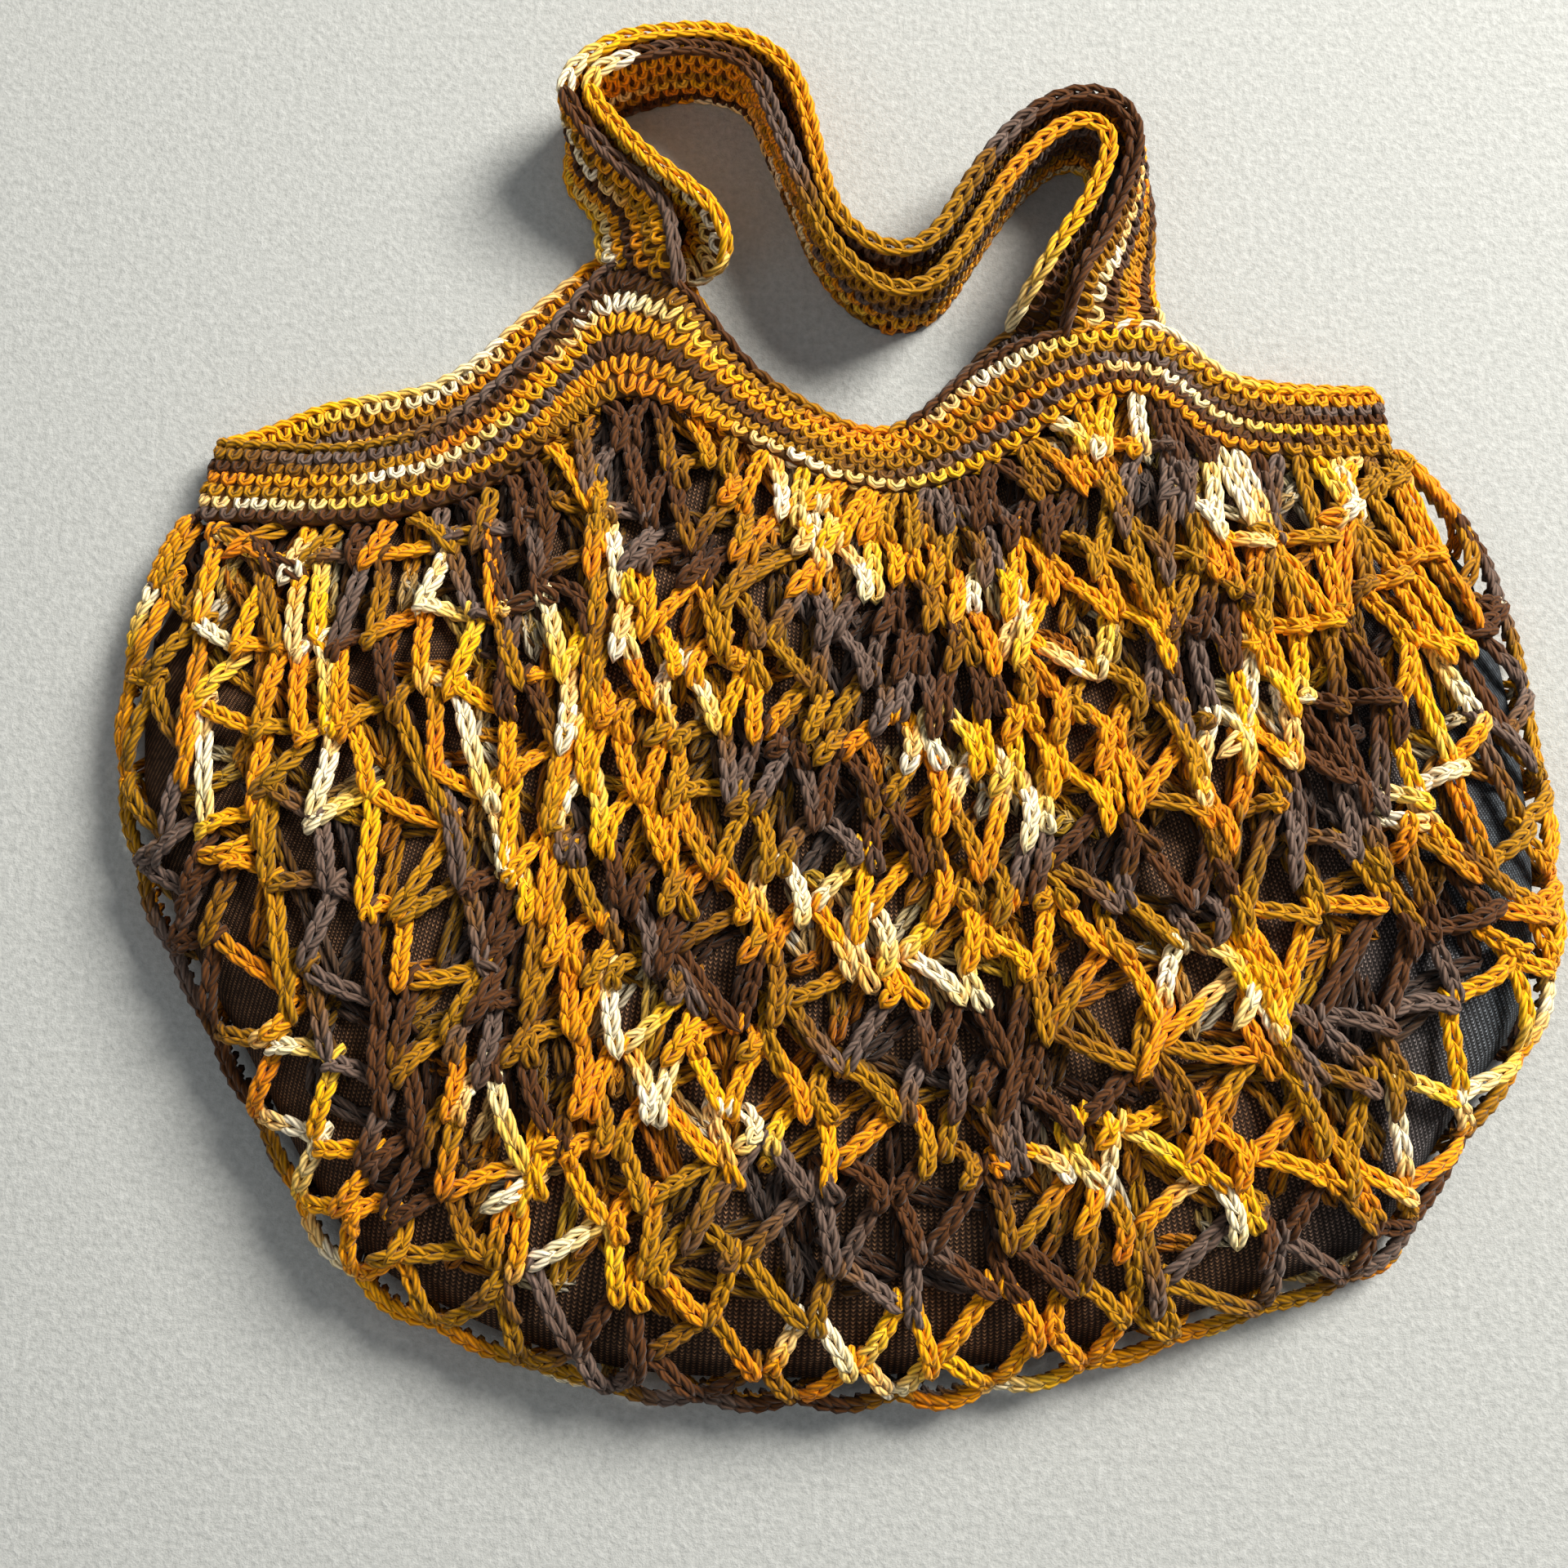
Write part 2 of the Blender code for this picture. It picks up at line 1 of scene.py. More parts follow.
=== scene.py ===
"""Looks of the crocheted net bag: yarn links and stitches, a knitted lining, floor, light and camera.

Metres, +Z up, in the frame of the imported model. The bag's surface, its rim and its straps are
worked out from the same tables as the solids, and the yarn is then laid along them.
"""

import math

import bpy
import numpy as np
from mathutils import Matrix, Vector


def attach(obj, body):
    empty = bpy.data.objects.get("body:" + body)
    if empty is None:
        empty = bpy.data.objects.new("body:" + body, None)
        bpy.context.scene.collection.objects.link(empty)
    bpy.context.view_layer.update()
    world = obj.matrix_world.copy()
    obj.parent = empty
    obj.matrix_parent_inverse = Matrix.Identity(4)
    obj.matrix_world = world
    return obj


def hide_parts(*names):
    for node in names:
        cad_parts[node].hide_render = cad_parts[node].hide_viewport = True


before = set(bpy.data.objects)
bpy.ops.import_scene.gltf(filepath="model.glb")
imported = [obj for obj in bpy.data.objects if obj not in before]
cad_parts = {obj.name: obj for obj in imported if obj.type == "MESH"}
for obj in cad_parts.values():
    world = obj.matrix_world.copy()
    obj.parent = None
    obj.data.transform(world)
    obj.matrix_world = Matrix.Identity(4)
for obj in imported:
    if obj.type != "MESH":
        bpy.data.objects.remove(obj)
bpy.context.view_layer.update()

# Place of the part's own drawing in the row frame
DRAWING_SHIFT = np.array([-0.000362, -0.212448, 0.0])

# Bag body
BAG_WIDTH = 0.441
BAG_DEPTH = 0.272
CROWN_HEIGHT = 0.040
FOLD_HEIGHT = 0.011
FOLD_ROUNDING = 0.080
UNDERSIDE_ROUNDING = 0.013
RIM_BLEND = 0.070
COLUMNS = 28

# Rim band and straps
RIM_WIDTH = 0.022
RIM_HEIGHT = 0.028
BAND_WALL = 0.005
STRAP_WIDTH = 0.030
STRAP_RISE = 0.085
NET_WALL = 0.0045
BACK_LEVEL = NET_WALL / 2
BAND_LEVEL = BAND_WALL / 2

# Yarn and stitches
YARN = 0.0013
BAND_YARN = 0.00125
LINK_HALF_WIDTH = 0.00155
LEG_LINKS = 4
ROW_PITCH = 0.0145
STITCH_PITCH = 0.0064
RIM_ROWS = 6
STRAP_ROWS = 6

FOLD_LINE = (
    (0.0, -0.487, 0.906, 0.35),
    (1.0, -0.498, 0.800, 0.55),
    (2.0, -0.499, 0.684, 0.70),
    (3.2, -0.480, 0.562, 0.80),
    (5.4, -0.415, 0.360, 0.88),
    (8.2, -0.314, 0.119, 0.92),
    (9.5, -0.240, 0.057, 0.94),
    (10.9, -0.157, 0.014, 0.96),
    (12.6, -0.052, 0.001, 0.98),
    (14.9, 0.098, 0.014, 1.00),
    (18.2, 0.299, 0.101, 0.98),
    (19.4, 0.367, 0.145, 0.95),
    (21.1, 0.433, 0.287, 0.92),
    (22.5, 0.488, 0.414, 0.88),
    (23.8, 0.500, 0.543, 0.82),
    (25.8, 0.492, 0.761, 0.68),
    (27.0, 0.476, 0.886, 0.50),
    (28.0, 0.450, 0.985, 0.35),
)
FRONT_RIM = (
    (0.0, -0.464, 0.983, 0.43, 0.30, 1.13, 0.00),
    (3.3, -0.328, 0.965, 0.93, -0.10, 1.17, -0.27),
    (5.7, -0.242, 1.005, 0.96, -0.55, 1.13, -0.32),
    (7.6, -0.185, 1.079, 0.93, -0.45, 1.30, -0.36),
    (9.0, -0.145, 1.119, 0.89, -0.10, 1.50, -0.30),
    (10.7, -0.081, 1.071, 1.00, 0.22, 1.07, -0.27),
    (14.0, 0.037, 0.999, 1.00, -0.03, 0.92, -0.36),
    (17.1, 0.120, 1.038, 1.00, -0.29, 1.45, -0.32),
    (20.0, 0.188, 1.115, 0.96, -0.42, 0.95, -0.14),
    (21.3, 0.225, 1.117, 0.96, 0.18, 1.14, -0.27),
    (23.2, 0.265, 1.059, 0.93, 0.33, 1.03, -0.27),
    (25.7, 0.336, 1.045, 0.86, 0.12, 1.01, -0.27),
    (28.0, 0.410, 1.062, 0.43, -0.19, 0.94, 0.00),
)
BACK_RIM = (
    (0.0, -0.464, 0.983, 0.43, 0.30, 1.13, 0.00),
    (1.5, -0.410, 1.010, 0.09, -0.10, 1.10, 0.00),
    (3.0, -0.353, 1.048, 0.09, -0.43, 1.02, 0.00),
    (5.5, -0.262, 1.085, 0.09, -0.32, 1.00, 0.00),
    (7.0, -0.212, 1.151, 0.09, -0.36, 1.08, 0.00),
    (9.0, -0.146, 1.200, 0.09, 0.10, 1.45, 0.10),
    (11.5, -0.085, 1.100, 0.09, 0.20, 1.10, 0.00),
    (14.5, 0.037, 0.956, 0.09, 0.00, 0.96, 0.00),
    (17.5, 0.105, 1.070, 0.09, -0.33, 1.12, 0.00),
    (20.0, 0.174, 1.132, 0.09, -0.10, 1.05, 0.15),
    (23.5, 0.260, 1.096, 0.09, -0.31, 1.12, 0.00),
    (26.0, 0.328, 1.077, 0.09, 0.02, 0.97, 0.00),
    (28.0, 0.410, 1.062, 0.43, -0.19, 0.94, 0.00),
)
FEET = (
    ("front", "left", 8, 10, -0.135, 1.278, 0.69, -34.6, 30.5),
    ("front", "right", 20, 22, 0.201, 1.202, 0.80, 8.5, -5.7),
    ("back", "left", 8, 10, -0.134, 1.306, 0.20, -28.0, 13.5),
    ("back", "right", 19, 21, 0.163, 1.221, 0.27, 2.7, -20.0),
)
FRONT_STRAP = (
    (0.055, 0.085, -0.76, 0.10, 0.24),
    (0.030, 0.265, -0.70, 0.12, 0.08),
    (-0.085, 0.405, -0.46, 0.10, 0.00),
    (-0.152, 0.535, -0.12, 0.04, 0.00),
    (-0.176, 0.625, 0.00, 0.00, 0.00),
    (-0.149, 0.728, 0.00, 0.00, 0.00),
    (-0.072, 0.838, 0.00, 0.00, 0.00),
    (0.020, 0.898, 0.00, 0.00, 0.00),
    (0.165, 0.938, 0.00, 0.00, 0.00),
    (0.284, 0.868, 0.00, 0.00, 0.00),
    (0.337, 0.717, 0.00, 0.00, 0.00),
    (0.392, 0.341, 0.00, 0.00, 0.00),
    (0.465, 0.193, 0.00, 0.00, 0.00),
    (0.557, 0.168, 0.00, 0.00, 0.00),
    (0.632, 0.272, 0.00, 0.00, 0.00),
    (0.701, 0.485, 0.00, 0.00, 0.00),
    (0.789, 0.704, 0.00, 0.00, 0.00),
    (0.901, 0.859, 0.00, 0.00, 0.00),
    (1.004, 0.875, 0.08, -0.06, 0.00),
    (1.053, 0.751, 0.20, -0.02, 0.00),
    (1.030, 0.562, 0.40, 0.00, 0.00),
    (0.978, 0.323, 0.60, 0.00, 0.10),
    (0.926, 0.150, 0.80, 0.02, 0.36),
)
BACK_STRAP = (
    (0.177, 0.005, -0.80, 0.30, 0.00),
    (0.185, 0.105, -0.55, 0.15, 0.00),
    (0.139, 0.186, -0.25, 0.05, 0.00),
    (0.006, 0.308, 0.00, 0.00, 0.00),
    (-0.085, 0.430, 0.00, 0.00, 0.00),
    (-0.138, 0.520, 0.00, 0.00, 0.00),
    (-0.129, 0.608, 0.00, 0.00, 0.00),
    (-0.052, 0.685, 0.00, 0.00, 0.00),
    (0.080, 0.768, 0.00, 0.00, 0.00),
    (0.206, 0.772, 0.00, 0.00, 0.00),
    (0.266, 0.710, 0.00, 0.00, 0.00),
    (0.302, 0.580, 0.00, 0.00, 0.00),
    (0.392, 0.262, 0.00, 0.00, 0.00),
    (0.436, 0.120, 0.00, 0.00, 0.00),
    (0.514, 0.000, 0.00, 0.00, 0.00),
    (0.618, -0.046, 0.00, 0.00, 0.00),
    (0.720, 0.064, 0.00, 0.00, 0.00),
    (0.854, 0.414, 0.00, 0.00, 0.00),
    (0.929, 0.580, 0.00, 0.00, 0.00),
    (1.017, 0.717, 0.00, 0.00, 0.00),
    (1.095, 0.745, 0.00, 0.00, 0.00),
    (1.123, 0.660, 0.02, 0.00, 0.00),
    (1.077, 0.455, 0.10, 0.00, 0.00),
    (1.001, 0.260, 0.30, 0.00, 0.00),
    (0.932, 0.070, 0.70, 0.02, 0.00),
)


# Vectors and curves


def unit(vectors):
    return vectors / np.maximum(np.linalg.norm(vectors, axis=-1, keepdims=True), 1e-12)


def smoothstep(share):
    share = np.clip(share, 0.0, 1.0)
    return share * share * (3 - 2 * share)


def read_table(table, columns):
    """The rows of a table at given columns, on a smooth curve through its rows."""
    rows = np.array(table, dtype=float)
    keys, values = rows[:, 0], rows[:, 1:]
    slopes = np.gradient(values, keys, axis=0)
    columns = np.atleast_1d(np.asarray(columns, dtype=float))
    i = np.clip(np.searchsorted(keys, columns) - 1, 0, len(keys) - 2)
    span = (keys[i + 1] - keys[i])[:, None]
    t = (columns - keys[i])[:, None] / span
    return (
        (2 * t**3 - 3 * t**2 + 1) * values[i]
        + (t**3 - 2 * t**2 + t) * span * slopes[i]
        + (3 * t**2 - 2 * t**3) * values[i + 1]
        + (t**3 - t**2) * span * slopes[i + 1]
    )


def smooth_line(points, steps):
    """Points on a smooth curve through the given ones, with steps between each two."""
    keys = np.arange(len(points), dtype=float)
    table = np.column_stack([keys, points])
    return read_table(table, np.linspace(0, len(points) - 1, (len(points) - 1) * steps + 1))


def along_line(line):
    """Distance of each point of a line from its start."""
    steps = np.linalg.norm(np.diff(line, axis=0), axis=1)
    return np.concatenate([[0.0], np.cumsum(steps)])


def sample(keys, values, at):
    """Rows of values at places between their keys."""
    return np.stack([np.interp(at, keys, values[:, k]) for k in range(values.shape[1])], axis=1)


# Surface of the bag


def rim_line(panel, columns):
    """Lower edge of the rim band at given columns."""
    rows = read_table(FRONT_RIM if panel == "front" else BACK_RIM, columns)
    level = np.maximum(rows[:, 2] * RIM_HEIGHT, BAND_LEVEL)
    return np.column_stack([rows[:, 0] * BAG_WIDTH, rows[:, 1] * BAG_DEPTH, level])


def bag_surface(panel, columns, shares):
    """Points of the bag's surface: share 0 is the fold and share 1 the rim."""
    columns = np.atleast_1d(np.asarray(columns, dtype=float))
    shares = np.broadcast_to(np.asarray(shares, dtype=float), columns.shape)
    table = read_table(FOLD_LINE, columns)
    fold = np.column_stack(
        [table[:, 0] * BAG_WIDTH, table[:, 1] * BAG_DEPTH, np.full(len(columns), FOLD_HEIGHT)]
    )
    rim = rim_line(panel, columns)
    length = np.linalg.norm((rim - fold)[:, :2], axis=1)
    points = fold + (rim - fold) * shares[:, None]
    inward = shares * length
    near_rim = smoothstep((inward - length + RIM_BLEND) / RIM_BLEND)
    blend = np.where(length > RIM_BLEND, near_rim, shares)
    if panel == "front":
        crown = np.maximum(table[:, 2] * CROWN_HEIGHT, rim[:, 2])
        rounding = np.minimum(FOLD_ROUNDING, length)
        arch = np.sqrt(1 - (1 - np.clip(inward / rounding, 0, 1)) ** 2)
        free = FOLD_HEIGHT + (crown - FOLD_HEIGHT) * arch
    else:
        arch = np.sqrt(1 - (1 - np.clip(inward / UNDERSIDE_ROUNDING, 0, 1)) ** 2)
        free = FOLD_HEIGHT + (BACK_LEVEL - FOLD_HEIGHT) * arch
        blend = np.where(rim[:, 2] > BACK_LEVEL + NET_WALL, blend, smoothstep((shares - 0.9) / 0.1))
    curved = free + (rim[:, 2] - free) * blend
    from_end = np.clip(np.minimum(columns, COLUMNS - columns), 0, 1)
    points[:, 2] += (curved - points[:, 2]) * from_end
    return points


def bag_normals(panel, columns, shares):
    """Outward normals of the bag's surface: up on the front and down on the back."""
    columns = np.atleast_1d(np.asarray(columns, dtype=float))
    shares = np.broadcast_to(np.asarray(shares, dtype=float), columns.shape)
    left = np.clip(columns - 0.2, 0, COLUMNS)
    right = np.clip(columns + 0.2, 0, COLUMNS)
    low = np.clip(shares - 0.02, 0, 1)
    high = np.clip(shares + 0.03, 0, 1)
    across = bag_surface(panel, right, shares) - bag_surface(panel, left, shares)
    rise = bag_surface(panel, columns, high) - bag_surface(panel, columns, low)
    normal = unit(np.cross(across, rise))
    return normal if panel == "front" else -normal


# Yarn swept along paths


def sweep(paths, ups, radius, sides, closed):
    """Round yarn along many paths at once: points, faces and the face corners' place on the
    yarn, once around and in metres along it. paths is (count, points, 3)."""
    count, steps, _ = paths.shape
    if closed:
        travel = np.roll(paths, -1, axis=1) - np.roll(paths, 1, axis=1)
    else:
        travel = np.gradient(paths, axis=1)
    travel = unit(travel)
    side = unit(np.cross(travel, ups))
    top = np.cross(side, travel)
    angle = 2 * math.pi * np.arange(sides) / sides
    ring = side[:, :, None, :] * np.cos(angle)[:, None] + top[:, :, None, :] * np.sin(angle)[:, None]
    points = paths[:, :, None, :] + ring * radius
    pieces = steps if closed else steps - 1
    start = np.arange(count)[:, None, None] * steps * sides
    i = np.arange(pieces)[None, :, None]
    j = np.arange(sides)[None, None, :]
    nxt_i, nxt_j = (i + 1) % steps, (j + 1) % sides
    quads = np.stack(
        [
            start + i * sides + j,
            start + nxt_i * sides + j,
            start + nxt_i * sides + nxt_j,
            start + i * sides + nxt_j,
        ],
        axis=-1,
    ).reshape(-1, 4)
    span = np.linalg.norm(np.diff(paths, axis=1), axis=2)
    if closed:
        span = np.concatenate(
            [span, np.linalg.norm(paths[:, :1] - paths[:, -1:], axis=2)], axis=1
        )
    place = np.concatenate([np.zeros((count, 1)), np.cumsum(span, axis=1)], axis=1)
    before = np.broadcast_to(place[:, :pieces, None], (count, pieces, sides))
    after = np.broadcast_to(place[:, 1 : pieces + 1, None], (count, pieces, sides))
    around = np.broadcast_to(j / sides, (count, pieces, sides))
    following = around + 1 / sides
    uv = np.stack(
        [
            np.stack([around, before], axis=-1),
            np.stack([around, after], axis=-1),
            np.stack([following, after], axis=-1),
            np.stack([following, before], axis=-1),
        ],
        axis=3,
    ).reshape(-1, 4, 2)
    caps = None
    if not closed:
        first = np.arange(count)[:, None] * steps * sides
        around_start = first + np.arange(sides)[None, :]
        around_end = first + (steps - 1) * sides + np.arange(sides)[::-1][None, :]
        caps = np.concatenate([around_start, around_end])
    return points.reshape(-1, 3), quads, uv, caps


class Yarns:
    """Yarn gathered for one piece, which becomes a single mesh."""

    def __init__(self):
        self.points, self.quads, self.uv, self.caps, self.dye = [], [], [], [], []
        self.total = 0

    def lay(self, paths, ups, radius, sides, closed, dye):
        """dye is one number for each path, or one for each point of each path."""
        if len(paths) == 0:
            return
        paths = paths.copy()
        paths[:, :, 2] = np.maximum(paths[:, :, 2], radius)
        points, quads, uv, caps = sweep(paths, ups, radius, sides, closed)
        dye = np.asarray(dye, dtype=float)
        if dye.ndim == 1:
            dye = np.repeat(dye[:, None], paths.shape[1], axis=1)
        offset = np.arange(len(paths)) * 0.0173 % 0.05
        uv = uv.copy()
        uv[:, :, 1] += np.repeat(offset, len(quads) // len(paths))[:, None]
        self.points.append(points)
        self.quads.append(quads + self.total)
        self.uv.append(uv)
        self.dye.append(np.repeat(dye.reshape(-1), sides))
        if caps is not None:
            self.caps.append((caps + self.total, sides))
        self.total += len(points)

    def triangles(self):
        caps = sum(len(c) * (sides - 2) for c, sides in self.caps)
        return 2 * sum(len(q) for q in self.quads) + caps

    def piece(self, name, material):
        mesh = bpy.data.meshes.new(name)
        points = np.concatenate(self.points) + DRAWING_SHIFT
        loops = [q.reshape(-1) for q in self.quads]
        sizes = [np.full(len(q), 4) for q in self.quads]
        uv = [u.reshape(-1, 2) for u in self.uv]
        for caps, sides in self.caps:
            loops.append(caps.reshape(-1))
            sizes.append(np.full(len(caps), sides))
            uv.append(np.zeros((caps.size, 2)))
        loops, sizes, uv = np.concatenate(loops), np.concatenate(sizes), np.concatenate(uv)
        starts = np.concatenate([[0], np.cumsum(sizes)[:-1]])
        mesh.vertices.add(len(points))
        mesh.vertices.foreach_set("co", points.astype(np.float32).ravel())
        mesh.loops.add(len(loops))
        mesh.loops.foreach_set("vertex_index", loops.astype(np.int32))
        mesh.polygons.add(len(sizes))
        mesh.polygons.foreach_set("loop_start", starts.astype(np.int32))
        mesh.polygons.foreach_set("loop_total", sizes.astype(np.int32))
        mesh.polygons.foreach_set("use_smooth", np.ones(len(sizes), dtype=bool))
        layer = mesh.uv_layers.new(name="strand")
        layer.data.foreach_set("uv", uv.astype(np.float32).ravel())
        dye = mesh.attributes.new(name="dye", type="FLOAT", domain="POINT")
        dye.data.foreach_set("value", np.concatenate(self.dye).astype(np.float32))
        mesh.update(calc_edges=True)
        mesh.materials.append(material)
        made = bpy.data.objects.new(name, mesh)
        bpy.context.collection.objects.link(made)
        return made


# One link of a crochet chain, as a closed loop seen from its face.
# across as a share of the half width; along as a share of the pitch; height as a share of the yarn
LINK = (
    (0.00, -0.16, -1.00),
    (0.98, 0.06, 0.25),
    (1.08, 0.46, 0.90),
    (0.66, 0.94, 0.72),
    (0.00, 1.30, 0.00),
    (-0.66, 0.94, 0.72),
    (-1.08, 0.46, 0.90),
    (-0.98, 0.06, 0.25),
)
# A lighter link for what lies inside the bag or on the floor
PLAIN_LINK = (
    (0.00, -0.36, -0.90),
    (1.00, 0.20, 0.50),
    (0.90, 0.90, 0.50),
    (0.00, 1.28, -0.35),
    (-0.90, 0.90, 0.50),
    (-1.00, 0.20, 0.50),
)
# One plump stitch on the face of a band: a smile of yarn whose two ends dive into the cloth.
# across as a share of the stitch pitch; up as a share of the row pitch; height as a share of the yarn
STITCH = (
    (-0.26, 0.62, -0.90),
    (-0.31, 0.24, 0.55),
    (-0.24, -0.22, 0.85),
    (0.00, -0.44, 0.60),
    (0.24, -0.22, 0.85),
    (0.31, 0.24, 0.55),
    (0.26, 0.62, -0.90),
)


def links(yarns, base, along, normal, pitch, half_width, thick, sides, dye, shape=LINK):
    """Chain links: base is where each starts, along its direction and normal its face."""
    shape = np.array(shape)
    across = unit(np.cross(along, normal))
    normal = unit(np.cross(across, along))
    pitch = np.broadcast_to(pitch, len(base))[:, None, None]
    paths = (
        base[:, None, :]
        + across[:, None, :] * (shape[:, 0] * half_width)[None, :, None]
        + along[:, None, :] * shape[None, :, 1, None] * pitch
        + normal[:, None, :] * (shape[:, 2] * thick)[None, :, None]
    )
    ups = np.broadcast_to(normal[:, None, :], paths.shape)
    yarns.lay(paths, ups, thick, sides, True, dye)


# Net


def square_to(line, columns, inside):
    """Level directions square to a line of the bag, on the side of the inside points."""
    along = line(np.clip(columns + 0.3, 0, COLUMNS)) - line(np.clip(columns - 0.3, 0, COLUMNS))
    square = unit(np.column_stack([-along[:, 1], along[:, 0]]))
    facing = np.sign((square * (inside - line(columns))).sum(axis=1))
    return square * np.where(facing == 0, 1, facing)[:, None]


def fold_plan(columns):
    return read_table(FOLD_LINE, columns)[:, :2] * (BAG_WIDTH, BAG_DEPTH)


def rim_plan(panel, columns):
    return rim_line(panel, columns)[:, :2]


def hanging_plan(panel, columns, shares):
    """Level places on the net's columns, which leave both the fold and the rim squarely."""
    fold, rim = fold_plan(columns), rim_plan(panel, columns)
    length = np.linalg.norm(rim - fold, axis=1, keepdims=True)
    from_fold = fold + square_to(fold_plan, columns, rim) * length * 0.34
    straight = (fold - rim) / np.maximum(length, 1e-6)
    leaving = unit(0.3 * square_to(lambda at: rim_plan(panel, at), columns, fold) + 0.7 * straight)
    from_rim = rim + leaving * length * 0.28
    t = shares[:, None]
    return (
        (1 - t) ** 3 * fold + 3 * (1 - t) ** 2 * t * from_fold
        + 3 * (1 - t) * t**2 * from_rim + t**3 * rim
    )


def on_bag(panel, columns, shares):
    """Points and outward normals of the bag's surface at places on the net's columns."""
    shape = np.broadcast(columns, shares).shape
    columns = np.broadcast_to(columns, shape).ravel()
    shares = np.broadcast_to(shares, shape).ravel()
    place = hanging_plan(panel, columns, shares)
    straight = np.linspace(0, COLUMNS, 50 * COLUMNS + 1)
    fold, rim = fold_plan(straight), rim_plan(panel, straight)
    way = rim - fold
    found_column, found_share = np.empty(len(place)), np.empty(len(place))
    for start in range(0, len(place), 500):
        some = slice(start, start + 500)
        off = place[some, None, :] - fold[None]
        share = np.clip((off * way[None]).sum(axis=2) / (way**2).sum(axis=1)[None], 0, 1)
        gap = np.linalg.norm(off - way[None] * share[:, :, None], axis=2)
        gap = gap + 0.00005 * np.abs(straight[None] - columns[some, None])
        best = gap.argmin(axis=1)
        found_column[some] = straight[best]
        found_share[some] = share[np.arange(len(best)), best]
    points = bag_surface(panel, found_column, found_share)
    normals = bag_normals(panel, found_column, found_share)
    return points.reshape(*shape, 3), normals.reshape(*shape, 3)


def net_knots(panel, odd=0):
    """(half column, row) to the share of the way to the rim where the knot is. A knot that
    would lie past the rim is on the rim, with its sign turned."""
    found = {}
    shares = np.linspace(0, 1, 41)
    for half in range(2 * COLUMNS + 1):
        line = hanging_plan(panel, np.full(41, half / 2), shares)
        length = along_line(line) + 0.004 * shares
        row = (half + odd) % 2
        while True:
            place = row * ROW_PITCH
            if place > length[-1] - 0.004:
                found[(half, row)] = -1.0
                break
            found[(half, row)] = float(np.interp(place, length, shares))
            row += 2
    return found


def gathered(columns, shares):
    """Columns drawn together towards the middle of the rim, below the valley between the straps."""
    off = np.clip(columns - 14.0, -7, 7)
    return columns - 0.66 * shares**1.5 * np.sin(off * math.pi / 7)


def net_legs(panel, random, odd=0, scatter=1.0, first_row=1):
    """Tops of the net's arches, and its legs from a top down to a foot: the column and share of
    both ends, the top's half column and row, the side and whether the top is on the rim."""
    knots = net_knots(panel, odd)
    keys = sorted(knots)
    columns = np.array([half / 2 for half, _ in keys])
    shares = np.array([abs(knots[key]) for key in keys])
    rows = np.array([row for _, row in keys])
    inside = (rows > 0) & (shares < 1)
    jitter = random.normal(0, scatter, (len(keys), 2)) * (0.10, 0.009)
    from_middle = np.abs(columns - 14) / 14
    jitter = jitter * (1 + 1.5 * from_middle)[:, None]
    drift = 0.10 * np.sin(columns * 1.9 + rows * 2.3) + 0.07 * np.sin(columns * 0.7 - rows * 1.3)
    drift = drift * (1 + 1.6 * from_middle)
    columns = np.clip(columns + (jitter[:, 0] + drift * scatter) * inside, 0, COLUMNS)
    shares = np.where(inside, np.clip(shares + jitter[:, 1], 0.02, 0.985), shares)
    if panel == "front":
        columns = gathered(columns, shares)
    place = {key: i for i, key in enumerate(keys)}
    legs = []
    for (half, row), share in sorted(knots.items()):
        if row == 0:
            continue
        top = place[(half, row)]
        for side in (-1, 1):
            low = place.get((half + side, row - 1))
            if low is None or shares[low] >= 1 or row < first_row:
                continue
            legs.append((columns[top], shares[top], columns[low], shares[low], half, row, side, share < 0))
    tops = [i for i, key in enumerate(keys) if inside[i] and knots[key] >= 0]
    tops = (columns[tops], shares[tops], np.array([keys[i][0] for i in tops]), rows[tops])
    return np.array(legs, dtype=float), tops


# Arches that one repeat of the dyes reaches along
ARCH_REPEAT = 7.6
# Step of the dyes from row to row, as a share of the repeat: a colour pools over a few rows
ROW_STEPS = (
    0.00, 0.13, 0.10, 0.44, 0.12, 0.09, 0.56, 0.14, 0.10, 0.38, 0.12,
    0.16, 0.47, 0.11, 0.12, 0.60, 0.13, 0.09, 0.42, 0.14, 0.11, 0.52,
)
LEG_LENGTH = 0.0228


def arch_dye(panel, row, half, side, share):
    """Place in the dye's repeat of a point on an arch."""
    around = half / 2 if panel == "front" else 2 * COLUMNS - half / 2
    turn = side if panel == "front" else -side
    steps = np.cumsum(ROW_STEPS)[np.asarray(row).astype(int) % len(ROW_STEPS)]
    return (around + turn * share / 2) / ARCH_REPEAT + steps + 0.04 * np.sin(around * 0.9 + row)


